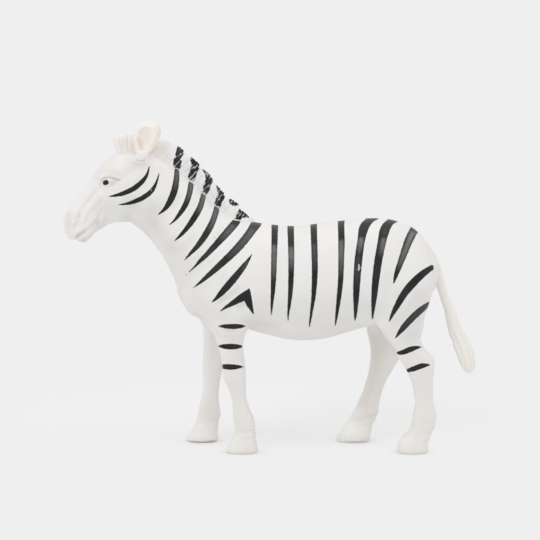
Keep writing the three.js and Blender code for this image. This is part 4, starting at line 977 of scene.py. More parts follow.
# Sculpted lines and swellings on the head: strokes, then how far they stand out in millimetres
HEAD_MARKS = [
    ([(64, 214, 3), (63.4, 221, 4), (64.6, 229, 3)], -0.09),
    ([(77.4, 244, 1.4), (76.4, 240.5, 1.3), (77, 237.4, 1.0)], -0.35),
    ([(73.6, 242, 2.0), (75, 240, 1.6)], -0.25),
    ([(100, 181, 6), (107, 185, 7), (114, 183, 6)], -0.25),
    ([(97.5, 188.5, 1.8), (89, 201, 2.2), (81.5, 211, 2.0), (78.5, 217, 1.6)], -0.42),
    ([(103.5, 194, 2.6), (93, 205, 3.0), (86, 213, 2.8), (83, 221, 2.2)], 0.42),
    ([(72, 212.5, 1.2), (69.4, 215.5, 1.5), (68.6, 219.5, 1.6), (70, 224.4, 1.4)], -0.5),
    ([(75.4, 211.5, 2.0), (74.4, 217, 2.3), (74, 223, 2.1), (71.4, 229, 1.8)], 0.35),
    ([(80, 213.5, 1.8), (78.4, 219.5, 1.9), (75.6, 225.4, 1.7)], -0.2),
    ([(76.5, 236.6, 0.9), (80.6, 233.8, 1.1), (85.4, 231, 0.9)], -0.5),
    ([(85.4, 231, 0.9), (92, 227, 1.0), (97.6, 223, 1.0)], -0.2),
    ([(76, 232.4, 1.8), (82, 228.6, 1.9), (89, 224.6, 1.7)], 0.32),
    ([(80.5, 238.6, 1.8), (86.5, 235, 2), (93, 230.6, 1.8)], 0.35),
    ([(94.5, 231.8, 1.0), (97.5, 227.5, 1.1), (99.4, 223, 0.9)], -0.35),
    ([(96.8, 221.4, 1.2), (99.4, 216, 1.5), (101.4, 210, 1.2)], -0.35),
    ([(104, 214, 2.6), (101.6, 221, 2.4)], 0.25),
    ([(145, 163, 4.5), (135, 168, 5), (125, 173, 4)], -0.35),
    ([(147, 170, 4.5), (138, 176, 5), (126, 183, 4)], 0.25),
    ([(150.5, 156.5, 2.2), (154.5, 152, 2.4)], 0.45),
]

# The brow, then the eyelids
EYE_MARKS = [
    ([(108.5, 169.4, 3), (112, 169, 3.6), (117, 170.7, 3.4), (124, 174, 2.5)], 0.4),
    ([(98.8, 183, 0.9), (102, 177.8, 1.2), (107, 175, 1.4), (113, 175.6, 1.5),
      (120.5, 178.6, 1.2)], 0.36),
    ([(100.4, 183.6, 0.7), (103.8, 179, 0.7), (108.5, 177.5, 0.8), (114, 178.2, 1.0),
      (119.5, 180, 0.8)], -0.34),
    ([(99.5, 186.8, 1.0), (104.5, 189, 1.1), (110.5, 188.4, 1.1), (116, 185, 1.1),
      (120, 181.6, 1.0)], 0.22),
    ([(101, 185, 0.6), (104.5, 186.9, 0.6), (109.5, 186.6, 0.6), (114, 184, 0.6),
      (118.5, 180.8, 0.6)], -0.2),
]
# How far sideways the skin faces where they start, and where they stand out in full
EYE_FACING = (0.42, 0.8)


def relief(places, marks):
    """How far the skin stands out along strokes drawn in the picture, in millimetres."""
    lift = np.zeros(len(places))
    for stroke, height in marks:
        near, share = stroke_share(places, stroke)
        lift[near] += height * share
    return lift


# The same on the legs, the ears, the mane and the tail
LEG_MARKS = [
    ([(436.9, 414, 1.0), (437.4, 419, 1.2), (435, 425, 1.1), (432.3, 431, 0.8)], 0.1),
    ([(377.6, 412, 0.9), (376.8, 416, 1.1), (373.8, 420.5, 0.8)], 0.35),
    ([(220.6, 411, 0.8), (220.4, 415.6, 1.0), (218.8, 420, 0.7)], 0.3),
    ([(233.6, 436, 0.9), (233.0, 438.5, 0.8)], -0.3),
    ([(205, 424.6, 0.8), (213, 424.2, 0.9), (218, 424, 0.8)], -0.22),
    ([(208, 433.6, 0.7), (214, 434, 0.8), (218, 433.4, 0.7)], -0.2),
    ([(225.6, 330.6, 0.8), (231, 331.6, 0.9), (236, 330.8, 0.8)], -0.25),
    ([(202.7, 317.7, 1.2), (210, 324, 1.3), (218.6, 335, 1.1)], -0.18),
    ([(372, 324.7, 1.6), (381, 333.6, 1.8), (397, 353, 1.5)], -0.2),
    ([(196, 316, 3), (200, 319.5, 3)], -0.4),
]
EAR_MARKS = [
    ([(138, 140, 1.6), (140.4, 145, 2.0), (142.6, 150, 1.6)], -0.2),
    ([(153, 150, 0.9), (148, 155.6, 1.0), (144, 160.6, 0.9)], -0.3),
]
MANE_MARKS = [
    ([(121.2, 135, 0.8), (122.2, 144, 0.7)], -0.25),
    ([(125.8, 135, 0.8), (126.4, 144, 0.7)], -0.25),
    ([(130.4, 135, 0.9), (131, 147, 0.8)], -0.25),
    ([(151, 155, 2.4), (155, 150.5, 2.6)], 0.4),
]
TAIL_MARKS = [
    ([(433, 270, 0.8), (434.4, 278, 0.9), (436, 286, 0.8)], -0.3),
    ([(438, 277, 0.8), (437.8, 284, 0.8)], -0.3),
    ([(459, 316, 2.0), (464, 330, 2.6), (468.6, 341, 2.2)], 0.3),
    ([(451.2, 338, 1.4), (452, 343, 1.4)], 0.25),
]

# Skin folds round each leg above its hoof: height, how far it tilts back, width and depth
PASTERN_FOLDS = {
    "left_foreleg": [(7.4, 0.12, 0.5, -0.36), (4.6, 0.14, 0.5, -0.3), (6.0, 0.13, 0.6, 0.16)],
    "right_foreleg": [(6.9, 0.1, 0.5, -0.34), (4.1, 0.12, 0.5, -0.34), (5.6, 0.1, 0.5, 0.16),
                      (2.4, 0.1, 0.6, 0.14)],
    "left_hind_leg": [(10.0, 0.1, 0.55, -0.28), (5.8, 0.16, 0.55, -0.3), (7.7, 0.12, 0.8, 0.16)],
    "right_hind_leg": [(8.1, 0.12, 0.55, -0.4), (5.1, 0.18, 0.5, -0.26), (6.5, 0.15, 0.6, 0.14),
                       (3.4, 0.15, 0.6, 0.12)],
}
# The folds go round the middle of what lies below this height
HOOF_ZONE = 10.0
# How far a fold rises and falls on its way round, and the share of its depth that stays all round
FOLD_WANDER, FOLD_LEAST_SHARE = 0.12, 0.2


def folded(points, triangles, name):
    """The leg with the folds of skin and the coronet's edge above its hoof."""
    middle = points[points[:, 2] < HOOF_ZONE].mean(0)
    normals = vertex_normals(points, triangles)
    moved = np.zeros(len(points))
    back = points[:, 0] - middle[0]
    turn = np.arctan2(points[:, 1] - middle[1], back)
    for height, tilt, width, depth in PASTERN_FOLDS[name]:
        level = height + tilt * back + FOLD_WANDER * np.sin(3 * turn + height)
        around = (1 + np.sin(2 * turn + 2 * height)) / 2
        fade = FOLD_LEAST_SHARE + (1 - FOLD_LEAST_SHARE) * around
        moved += depth * fade * np.exp(-((points[:, 2] - level) / width) ** 2)
    return points + moved[:, None] * normals, triangles


def sculpted(points, triangles, marks, eye_marks=()):
    """The skin with its sculpted lines and swellings."""
    places, normals = seen_place(points), vertex_normals(points, triangles)
    sideways = np.interp(np.abs(normals[:, 1]), EYE_FACING, (0, 1))
    lift = relief(places, marks) + relief(places, eye_marks) * sideways
    return points + lift[:, None] * normals, triangles


def neck_side(points, triangles, upper):
    """What lies above the neck's seam, or else what lies below it."""
    points, triangles, above = cut(points, triangles, (points - neck_seam) @ neck_seam_up)
    return kept_part(points, triangles, above == upper)


# A leg's seam runs round its top at this many half sizes from its middle, and what of the body
# lies below this share of its height and this near to it belongs to the leg
SEAM_SHARE = 1.7
LOWER_LEG_SHARE = 0.8
LOWER_LEG_REACH = 22.0


def leg_seam(points, leg):
    """A field that is below zero on a leg and above zero past its seam with the torso."""
    side, _, height = leg[:3]
    rows = leg_stations(leg, LEG_GRID[0])
    x, y, _, deep, wide = rows[np.argmin(np.abs(rows[:, 2] - height))]
    along = points[:, 0] - x
    away = np.hypot(along / (deep * SEAM_SHARE), (points[:, 1] - y) / (wide * SEAM_SHARE))
    lower_leg = (points[:, 2] < height * LOWER_LEG_SHARE) & (points[:, 1] * side > 0)
    away = np.where(lower_leg & (np.abs(along) < LOWER_LEG_REACH), 0, away)
    return np.maximum(points[:, 2] - height, (away - 1) * deep)


def seam_pieces():
    """The blended body cut at the seams into the pieces that are moulded apart."""
    head = sculpted(*whole_body(HEAD_VOXEL), HEAD_MARKS, EYE_MARKS)
    found = {"head_and_neck": neck_side(*head, True)}
    body = sculpted(*whole_body(BODY_VOXEL), LEG_MARKS)
    points, triangles = neck_side(*body, False)
    for name, leg in LEGS.items():
        points, triangles, above = cut(points, triangles, leg_seam(points, leg))
        leg_side = largest_patch(points, triangles, ~above)
        found[name] = folded(*kept_part(points, triangles, leg_side), name)
        points, triangles = kept_part(points, triangles, ~leg_side)
    points, triangles, above = cut(points, triangles, points[:, 1])
    found["torso_right_shell"] = kept_part(points, triangles, above)
    found["torso_left_shell"] = kept_part(points, triangles, ~above)
    return found


def mane_line(count):
    """The mane's foot line on the middle plane: X, Z and the hair's height."""
    rows = []
    for carrier, along, up, height in MANE_SHARES:
        foot = carriers[carrier].at(along, up)
        rows.append((foot[0], foot[2], height * MANE_HEIGHT))
    return smooth_rows(rows, count)


HAIR_SEED = 5
# The mane's ridges of combed hair: pitch in millimetres, then strength
HAIR_RIDGES = [(1.05, 0.45), (0.72, 0.35), (1.9, 0.3)]
# How far the ridges wander to and fro, and how soon
RIDGE_WANDER, RIDGE_PACE = 0.6, 0.31


def hair_wave(place):
    """A ridged wave for combed hair, from -1 in a groove to 1 on a ridge."""
    rng = np.random.default_rng(HAIR_SEED)
    wave = np.zeros_like(place)
    for pitch, strength in HAIR_RIDGES:
        phase = rng.uniform(0, 2 * math.pi)
        wander = RIDGE_WANDER * np.sin(place * RIDGE_PACE + phase)
        wave += strength * np.cos(2 * math.pi * place / pitch + phase + wander)
    return wave


# How deep the mane's foot sinks into the neck, how high its tips wave and its ridges stand out
MANE_SINK, TIP_WAVE, RIDGE_HEIGHT = 1.2, 0.22, 0.16
# The hair's height from which its tips wave in full, and from which the mane has its full bulk
WAVING_HEIGHT, BULKY_HEIGHT = 4.0, 5.0
# The mane's bulk at no height, and at its two ends, which are rounded over these lengths
LOW_BULK_SHARE, END_BULK_SHARE = 0.55, 0.35
FRONT_ROUNDING, BACK_ROUNDING = 1.5, 2.0
# The strip's round: how it rises, how full it stays, how much thinner its tip is, and how far
# below its foot line the ridges begin
STRIP_RISE, STRIP_FULLNESS, TIP_THINNING, RIDGE_START = 0.9, 3.2, 0.5, 0.4
# Picture place across, then how far the hair leans back for each step up
HAIR_LEAN = [
    (113, -0.42), (124, -0.2), (134, 0), (146, 0.4), (156, 0.8), (175, 0.9), (250, 1.0),
]
# Picture place across of a lock's tip, then how far it stands above the mane's even top
LOCK_HEIGHTS = [
    (112, -0.2), (118, -0.15), (122, 0.1), (128, -0.1), (136, 0), (182, 0), (188, -0.3), (196, -0.1),
    (204, -0.1), (210, -0.1), (216, -0.35), (220, -0.4), (225, -0.2), (228, -0.35), (229.2, 0.2),
    (232, 0.5), (236, 0.85), (238.8, 0.8), (240.6, -0.1), (242, -0.1), (243.4, 0.1), (250, 0),
]


def across_picture(places):
    """How far across the picture places on the middle plane fall, given as X and Z."""
    return picture_place(np.insert(places, 1, 0, axis=1))[:, 0]


def eased(share, least):
    """A share that starts from the least one instead of from 0."""
    return least + (1 - least) * share


def mane_piece():
    """The mane's strip of combed hair, and how deep in a groove each of its corners lies."""
    count, around = MANE_GRID
    line = mane_line(count)
    foot = line[:, :2]
    run = np.gradient(foot, axis=0)
    step = np.linalg.norm(run, axis=1, keepdims=True)
    arc = np.cumsum(step)
    run /= step
    rise = np.stack([-run[:, 1], run[:, 0]], 1)
    picture_lean = np.interp(across_picture(foot), *zip(*HAIR_LEAN))
    lean = (picture_lean * run[:, 0] + run[:, 1]) / (picture_lean * rise[:, 0] + rise[:, 1])
    tips = foot + rise * line[:, 2:]
    height = line[:, 2] + np.interp(across_picture(tips), *zip(*LOCK_HEIGHTS))
    # Up one side, over the tip and down the other, from foot to foot
    turn = np.linspace(0, 1, around)
    side = np.where(turn < 0.5, -1.0, 1.0)
    level = np.sin(np.minimum(turn, 1 - turn) * math.pi) ** STRIP_RISE
    width = np.sqrt(np.clip(1 - level**STRIP_FULLNESS, 0, 1)) * (1 - TIP_THINNING * level)
    tip_wave = TIP_WAVE * hair_wave(arc - lean * height) * np.minimum(1, height / WAVING_HEIGHT)
    up = (height + MANE_SINK + tip_wave)[:, None] * level - MANE_SINK
    strand = hair_wave(arc[:, None] - lean[:, None] * up)
    ends = np.minimum(arc / FRONT_ROUNDING, (arc[-1] - arc) / BACK_ROUNDING)
    bulk = (eased(np.minimum(1, height / BULKY_HEIGHT), LOW_BULK_SHARE)
            * eased(np.sqrt(np.clip(ends, 0, 1)), END_BULK_SHARE) * MANE_THICKNESS / 2)
    ridge = RIDGE_HEIGHT * strand * np.sqrt(width) * np.clip(up + RIDGE_START, 0, 1)
    rings = np.stack([
        foot[:, :1] + rise[:, :1] * up, side * (width * bulk[:, None] + ridge),
        foot[:, 1:] + rise[:, 1:] * up,
    ], -1)
    groove = np.clip(0.5 - strand / 2, 0, 1)
    return *loft(rings), np.append(groove.ravel(), [0, 0])


# The grain of an ear's skin, and the passes that soften it
EAR_VOXEL, EAR_PASSES = 0.2, 26


def ear_form(side, shares, outward):
    """The ear's outer form or its bowl, which leans outward as it rises."""
    stations, sides = EAR_GRID
    rows = smooth_rows(shares, stations)
    foot = head_frame.at(*EAR_PLACE_SHARES)
    splay = rows[:, 0] * EAR_HEIGHT * EAR_SPLAY_SHARE
    centres = np.stack([
        foot[0] + rows[:, 1] * EAR_WIDTH,
        side * (EAR_SPAN / 2 + splay + outward),
        foot[2] + rows[:, 0] * EAR_HEIGHT,
    ], 1)
    deep, wide = rows[:, 2] * EAR_WIDTH / 2, rows[:, 3] * EAR_THICKNESS / 2
    return loft(level_rings(centres, deep, wide, sides))


def ear_piece(side):
    """An ear with its bowl carved out of the side that faces outward."""
    shell = mesh_object("ear_shell", *ear_form(side, EAR_SHARES, 0))
    bowl_shift = (EAR_WALL + EAR_THICKNESS) / 2
    bowl = mesh_object("ear_bowl", *ear_form(side, EAR_BOWL_SHARES, bowl_shift))
    carve = shell.modifiers.new("bowl", "BOOLEAN")
    carve.object = bowl
    carve.operation = "DIFFERENCE"
    add_skin(shell, EAR_VOXEL)
    add_softening(shell, EAR_PASSES)
    taken = take_mesh(shell)
    bpy.data.objects.remove(bowl)
    return taken


# The switch is combed from this share of the tail's drop on, and in full after this much more
COMBED_FROM_SHARE, COMBED_FADE_SHARE = 0.42, 0.2
# Strands round the switch, coarse and fine, then how far they stand back from its full size
COARSE_STRANDS, FINE_STRANDS = 9, 17
COARSE_SHARE, FINE_SHARE = 0.1, 0.05
# How far the strands wander round on their way down, and how soon, and how uneven they are
COARSE_WANDER, COARSE_PACE, COARSE_UNEVENNESS = 1.4, 0.16, 0.5
FINE_WANDER, FINE_PACE = 0.9, 0.22


def tail_piece():
    """The tail, combed in its switch, and how deep in a groove each of its corners lies."""
    count, sides = TAIL_GRID
    rows = smooth_rows(TAIL_SHARES, count)
    root = torso_frame.at(*TAIL_ROOT_SHARES)
    centres = np.stack([
        root[0] + rows[:, 0] * TAIL_REACH, np.zeros(count), root[2] - rows[:, 1] * TAIL_DROP,
    ], 1)
    run = np.gradient(centres, axis=0)
    step = np.linalg.norm(run, axis=1, keepdims=True)
    arc = np.cumsum(step)[:, None]
    run /= step
    square = np.stack([-run[:, 2], np.zeros(count), run[:, 0]], 1)
    deep = square * rows[:, 2:3] * TAIL_THICKNESS / 2
    wide = np.outer(rows[:, 3] * TAIL_WIDTH / 2, [0, 1, 0])
    turn = np.linspace(0, 2 * math.pi, sides, endpoint=False)
    combed = np.clip((rows[:, 1:2] - COMBED_FROM_SHARE) / COMBED_FADE_SHARE, 0, 1)
    wander = COARSE_WANDER * np.sin(arc * COARSE_PACE) + COARSE_UNEVENNESS * np.sin(turn * 2)
    coarse = (1 + np.cos(turn * COARSE_STRANDS + wander)) / 2
    wander = FINE_WANDER * np.sin(arc * FINE_PACE + 1)
    fine = (1 + np.cos(turn * FINE_STRANDS - wander)) / 2
    swell = 1 - combed * (COARSE_SHARE * coarse + FINE_SHARE * fine)
    rings = swell[..., None] * oval_rings(np.zeros((count, 3)), deep, wide, sides)
    groove = combed * ((coarse + fine) / 2) ** 2
    return *loft(centres[:, None] + rings), np.append(groove.ravel(), [0, 0])


def closed(mesh):
    """Fills the flat cuts, so that the piece is one closed solid."""
    work = bmesh.new()
    work.from_mesh(mesh)
    open_edges = [edge for edge in work.edges if edge.is_boundary]
    if open_edges:
        bmesh.ops.holes_fill(work, edges=open_edges, sides=0)
        bmesh.ops.recalc_face_normals(work, faces=work.faces)
    work.to_mesh(mesh)
    work.free()


SHARP_ANGLE = math.radians(50)
# What a groove in the hair does: how far paint stays out of it past this depth, and the painted shade
# that darkens it
GROOVE_START, PAINT_SKIP = 0.55, 0.9
GROOVE_PAINTED_SHADE = (0.94, 0.93, 0.925)
# The spray comes from either side, so it draws back from skin that faces inward, but for a strip
# along the middle, and from skin that faces straight back: where that starts, and how fast
INWARD_START, INWARD_DRAW, MIDDLE_STRIP = 0.1, 4.0, 3.0
BACKWARD_START, BACKWARD_DRAW = 0.9, 20.0


def sprayed_edge(corners, normals, strokes):
    """The edge of the stripes' paint on skin that the spray reaches."""
    outward = normals[:, 1] * np.sign(corners[:, 1])
    inward = np.clip(INWARD_START - outward, 0, 1) * (np.abs(corners[:, 1]) > MIDDLE_STRIP)
    backward = np.clip(normals[:, 0] - BACKWARD_START, 0, 1)
    edge = paint_edge(mask_place(corners), strokes)
    return edge + INWARD_DRAW * inward + BACKWARD_DRAW * backward


def store(mesh, label, field, kind, values):
    """Keeps values on the mesh's corners, where a material reads them."""
    attribute = mesh.attributes.new(label, kind, "POINT")
    attribute.data.foreach_set(field, values.astype(np.float32).ravel())


def finished(name, points, faces, node, slot, material, strokes, marks=(), groove=None):
    """A piece of the figure, sculpted, with its paint's edge, its painted sheen and its tints, painted
    shade and painted light among them, stored on its corners.
    """
    made = mesh_object(name, points, [tuple(int(n) for n in face) for face in faces])
    mesh = made.data
    corners = np.array(points, float)
    normals = read_rows(mesh.vertices, "normal")
    closed(mesh)
    places = seen_place(corners)
    # The tints, painted shade and painted light among them
    tint = plastic_tint_and_painted_light(places)
    edge = np.full(len(corners), PAINT_REACH)
    if strokes:
        edge = sprayed_edge(corners, normals, strokes)
    if groove is not None:
        edge += PAINT_SKIP * np.clip(groove - GROOVE_START, 0, 1)
        # Painted shade darkens the plastic in the hair's grooves
        tint *= 1 - np.outer(groove, 1 - np.array(GROOVE_PAINTED_SHADE))
    store(mesh, "paint_edge", "value", "FLOAT", edge)
    # The stripes' painted sheen, a grey reflection painted into the paint
    store(mesh, "painted_sheen", "value", "FLOAT", painted_sheen(mask_place(corners)))
    store(mesh, "tint", "vector", "FLOAT_VECTOR", tint)
    corners += relief(places, marks)[:, None] * normals
    mesh.vertices.foreach_set("co", (corners * MM).ravel())
    mesh.polygons.foreach_set("use_smooth", [True] * len(mesh.polygons))
    mesh.set_sharp_from_angle(angle=SHARP_ANGLE)
    mesh.materials.append(material)
    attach(made, "root")
    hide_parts(node)


def feed(tree, socket, value):
    """Links an input to another node's output, or gives it a plain value."""
    if isinstance(value, bpy.types.NodeSocket):
        tree.links.new(value, socket)
    else:
        socket.default_value = value


def shader_node(tree, kind, inputs=(), **settings):
    """A new shader node with its settings, and what feeds its inputs."""
    node = tree.nodes.new("ShaderNode" + kind)
    for name, value in settings.items():
        setattr(node, name, value)
    for label, value in dict(inputs).items():
        feed(tree, node.inputs[label], value)
    return node


def worked_out(tree, operation, *values):
    """What a Math node makes of the values."""
    return shader_node(tree, "Math", enumerate(values), operation=operation).outputs[0]


def ranged(tree, value, start, end, low=0, high=1, kind="LINEAR"):
    """A value that runs from start to end, brought to run from low to high."""
    inputs = {"Value": value, "From Min": start, "From Max": end, "To Min": low, "To Max": high}
    return shader_node(tree, "MapRange", inputs, interpolation_type=kind).outputs["Result"]


def noise(tree, place, scale, detail):
    """Soft noise over the places."""
    inputs = {"Vector": place, "Scale": scale, "Detail": detail}
    return shader_node(tree, "TexNoise", inputs).outputs["Fac"]


def mixed(tree, share, first, second, kind="RGBA", blend="MIX"):
    """The first value giving way to the second one by the share."""
    inputs = {"Factor": share, "A": first, "B": second}
    return shader_node(tree, "Mix", inputs, data_type=kind, blend_type=blend).outputs["Result"]


def stored(tree, label):
    """The outputs of values that are kept on the corners."""
    return shader_node(tree, "Attribute", attribute_name=label).outputs


def node_group(name, inputs, outputs):
    """A new node group, what it is given and what it puts out."""
    group = bpy.data.node_groups.new(name, "ShaderNodeTree")
    for socket, kind, default in inputs:
        item = group.interface.new_socket(socket, in_out="INPUT", socket_type=kind)
        item.default_value = default
    for socket, kind in outputs:
        group.interface.new_socket(socket, in_out="OUTPUT", socket_type=kind)
    given = group.nodes.new("NodeGroupInput").outputs
    return group, given, group.nodes.new("NodeGroupOutput").inputs


FLOAT, COLOR, VECTOR = "NodeSocketFloat", "NodeSocketColor", "NodeSocketVector"

# Half the width of the paint's soft edge, in millimetres
PAINT_FEATHER = 0.09
# The paint's darkest and palest tone, and where its noise reaches them
PAINT_TONES = [(0.3, (0.004, 0.004, 0.0045)), (0.72, (0.019, 0.019, 0.02))]
TONE_SIZE = 160
# Between which noise values a fleck opens, then how the noise varies the painted sheen's grey
FLECK_EDGE = (0.57, 0.63)
PAINTED_SHEEN_UNEVENNESS = (0.3, 0.7, 0.8, 1.2)
# Between which noise values the clouds appear, then their least and their greatest share
WARM_CLOUDS, COOL_CLOUDS = (0.52, 0.75, 0, 0.35), (0.48, 0.25, 0, 0.3)
PAINT_ROUGHNESS, PVC_ROUGHNESS = (0.34, 0.52), (0.38, 0.62)
NOISE_MIDDLE = 0.5


def stripe_paint_group():
    """Where the stripe paint lies, with nicked edges, its own uneven tone and its painted sheen."""
    group, given, out = node_group(
        "stripe_paint",
        [("Nick Depth", FLOAT, 0.3), ("Nick Size", FLOAT, 1500.0), ("Fleck", FLOAT, 0.0),
         ("Fleck Size", FLOAT, 900.0), ("Strand Turn", VECTOR, (0, 0, 0)),
         ("Strand Length", VECTOR, (1, 1, 1)), ("Painted Sheen Color", COLOR, (0.2, 0.2, 0.205, 1))],
        [("Mask", FLOAT), ("Color", COLOR), ("Roughness", FLOAT)],
    )
    place = shader_node(group, "TexCoord").outputs["Object"]
    turned = {"Vector": place, "Rotation": given["Strand Turn"], "Scale": given["Strand Length"]}
    strands = shader_node(group, "Mapping", turned, vector_type="TEXTURE").outputs["Vector"]

    nicks = noise(group, strands, given["Nick Size"], 2)
    centred = worked_out(group, "SUBTRACT", nicks, NOISE_MIDDLE)
    edge = stored(group, "paint_edge")["Fac"]
    ragged = worked_out(group, "MULTIPLY_ADD", centred, given["Nick Depth"], edge)
    mask = ranged(group, ragged, PAINT_FEATHER, -PAINT_FEATHER)
    flecks = noise(group, strands, given["Fleck Size"], 4)
    opened = ranged(group, flecks, *FLECK_EDGE)
    missing = worked_out(group, "MULTIPLY", opened, given["Fleck"])
    kept = worked_out(group, "SUBTRACT", 1, missing)
    feed(group, out["Mask"], worked_out(group, "MULTIPLY", mask, kept))

    tone = noise(group, place, TONE_SIZE, 5)
    ramp = shader_node(group, "ValToRGB", {"Fac": tone})
    for stop, (position, colour) in zip(ramp.color_ramp.elements, PAINT_TONES):
        stop.position = position
        stop.color = (*colour, 1)
    # The paint turns grey where its painted sheen lies
    uneven = ranged(group, flecks, *PAINTED_SHEEN_UNEVENNESS)
    grey = worked_out(group, "MULTIPLY", stored(group, "painted_sheen")["Fac"], uneven)
    feed(group, out["Color"], mixed(group, grey, ramp.outputs["Color"], given["Painted Sheen Color"]))
    feed(group, out["Roughness"], ranged(group, tone, 0, 1, *PAINT_ROUGHNESS))
    return group


def soft_pvc_group():
    """The moulded plastic's faint clouds of tint, its stored tints with painted shade and painted
    light, its satin sheen and its fine skin.
    """
    group, given, out = node_group(
        "soft_pvc",
        [("Base", COLOR, (0.8, 0.79, 0.78, 1)), ("Warm Tint", COLOR, (0.8, 0.74, 0.66, 1)),
         ("Cool Tint", COLOR, (0.7, 0.7, 0.73, 1)), ("Tint Size", FLOAT, 45.0),
         ("Skin Size", FLOAT, 1500.0)],
        [("Color", COLOR), ("Roughness", FLOAT), ("Height", FLOAT)],
    )
    place = shader_node(group, "TexCoord").outputs["Object"]
    clouds = noise(group, place, given["Tint Size"], 3)
    warm_share = ranged(group, clouds, *WARM_CLOUDS)
    cool_share = ranged(group, clouds, *COOL_CLOUDS)
    warm = mixed(group, warm_share, given["Base"], given["Warm Tint"])
    cool = mixed(group, cool_share, warm, given["Cool Tint"])
    # The stored tints bring in painted shade and painted light
    tint = stored(group, "tint")["Color"]
    feed(group, out["Color"], mixed(group, 1, cool, tint, blend="MULTIPLY"))
    skin = noise(group, place, given["Skin Size"], 4)
    feed(group, out["Height"], skin)
    feed(group, out["Roughness"], ranged(group, skin, 0, 1, *PVC_ROUGHNESS))
    return group


# The plastic's own colour, then its warm and its cool clouds
STRIPED_TINTS = ((0.83, 0.818, 0.8), (0.83, 0.79, 0.73), (0.78, 0.77, 0.78))
MANE_TINTS = ((0.88, 0.875, 0.87), (0.88, 0.86, 0.82), (0.84, 0.835, 0.835))
PLAIN_TINTS = ((0.885, 0.86, 0.825), (0.875, 0.825, 0.755), (0.85, 0.82, 0.81))
# The mane's paint breaks up along its strands, which lean back as they rise
MANE_PAINT = {
    "Nick Depth": 0.55, "Nick Size": 1300.0, "Fleck": 0.55, "Fleck Size": 1000.0,
    "Strand Turn": (0, math.radians(42), 0), "Strand Length": (0.6, 0.9, 3.4),
}
# How the plastic's surface takes light, and how far its fine skin stands out, in metres
PVC_SURFACE = {
    "IOR": 1.5, "Subsurface Weight": 0.12, "Subsurface Radius": (1.0, 0.85, 0.7),
    "Subsurface Scale": 0.0012,
}
BARE_SHEEN, PAINT_SHEEN = 0.5, 0.3
SKIN_BUMP = {"Strength": 0.25, "Distance": 0.00012}


def node_material(name):
    """A new material, and its tree of nodes."""
    material = bpy.data.materials.new(name)
    material.use_nodes = True
    return material, material.node_tree


def pvc_material(name, base, warm, cool, paint_values):
    """The moulded plastic with the stripe paint over it."""
    material, tree = node_material(name)
    tints = {"Base": (*base, 1), "Warm Tint": (*warm, 1), "Cool Tint": (*cool, 1)}
    pvc = shader_node(tree, "Group", node_tree=soft_pvc, inputs=tints).outputs
    paint = shader_node(tree, "Group", node_tree=stripe_paint, inputs=paint_values).outputs
    bump = shader_node(tree, "Bump", {**SKIN_BUMP, "Height": pvc["Height"]})
    mask = paint["Mask"]
    surface = {
        "Base Color": mixed(tree, mask, pvc["Color"], paint["Color"]),
        "Roughness": mixed(tree, mask, pvc["Roughness"], paint["Roughness"], "FLOAT"),
        "Specular IOR Level": mixed(tree, mask, BARE_SHEEN, PAINT_SHEEN, "FLOAT"),
        "Normal": bump.outputs["Normal"], **PVC_SURFACE,
    }
    for label, value in surface.items():
        feed(tree, tree.nodes["Principled BSDF"].inputs[label], value)
    return material


def build_figure():
    """All the pieces of the figure, each with its material."""
    striped = pvc_material("striped_pvc", *STRIPED_TINTS, {})
    maned = pvc_material("mane_pvc", *MANE_TINTS, MANE_PAINT)
    plain = pvc_material("plain_pvc", *PLAIN_TINTS, {})
    body_strokes = [*BODY_STRIPES.values(), PUPIL]
    for node, (points, triangles) in seam_pieces().items():
        finished(node + "_form", points, triangles, node, "striped_pvc", striped, body_strokes)
    *hair, groove = mane_piece()
    patches = list(MANE_STRIPES.values())
    finished("mane_hair", *hair, "mane", "mane_pvc", maned, patches, MANE_MARKS, groove)
    for name, side in (("left_ear", -1), ("right_ear", 1)):
        finished(name + "_cup", *ear_piece(side), name, "plain_pvc", plain, [], EAR_MARKS)
    *hair, groove = tail_piece()
    finished("tail_hair", *hair, "tail", "plain_pvc", plain, [], TAIL_MARKS, groove)


FLOOR_SIZE = 6000.0
PAPER = (0.87, 0.87, 0.87)
BACKDROP = (0.863, 0.863, 0.863)
ROOM_LIGHT = 0.83
# The floor's glow gives way to paper in the figure's soft shadow, which lies behind it: its
# middle, how far it is stretched, from where to where it fades, in metres, and the glow left
SHADOW_MIDDLE = (0.008, 0.062, 0)
SHADOW_STRETCH = (1.5, 1.0, 1.0)
SHADOW_SPAN = (0.02, 0.078)
SHADOW_GLOW_SHARE = 0.05
# The same round the middle of each sole
CONTACT_SPAN = (0.004, 0.01)
CONTACT_GLOW_SHARE = 0.35
# Soft lamps: place and size in metres, then power in watts
SOFTBOXES = {
    "overhead_softbox": ((0.1, 0.1, 1.3), 1.4, 2.8),
    "front_softbox": ((-0.8, -0.95, 0.75), 0.9, 2.8),
    "side_softbox": ((1.2, -0.6, 0.5), 0.9, 0.7),
}
LAMP_TARGET = Vector((0, 0, 0.05))


def seen_by(tree, other):
    """Whether the ray comes from the camera or is of the other kind."""
    ray = shader_node(tree, "LightPath").outputs
    return worked_out(tree, "MAXIMUM", ray["Is Camera Ray"], ray[other])


def either(tree, share, first, second):
    """The first shader giving way to the second one by the share."""
    inputs = {"Fac": share, 1: first.outputs[0], 2: second.outputs[0]}
    return shader_node(tree, "MixShader", inputs).outputs[0]


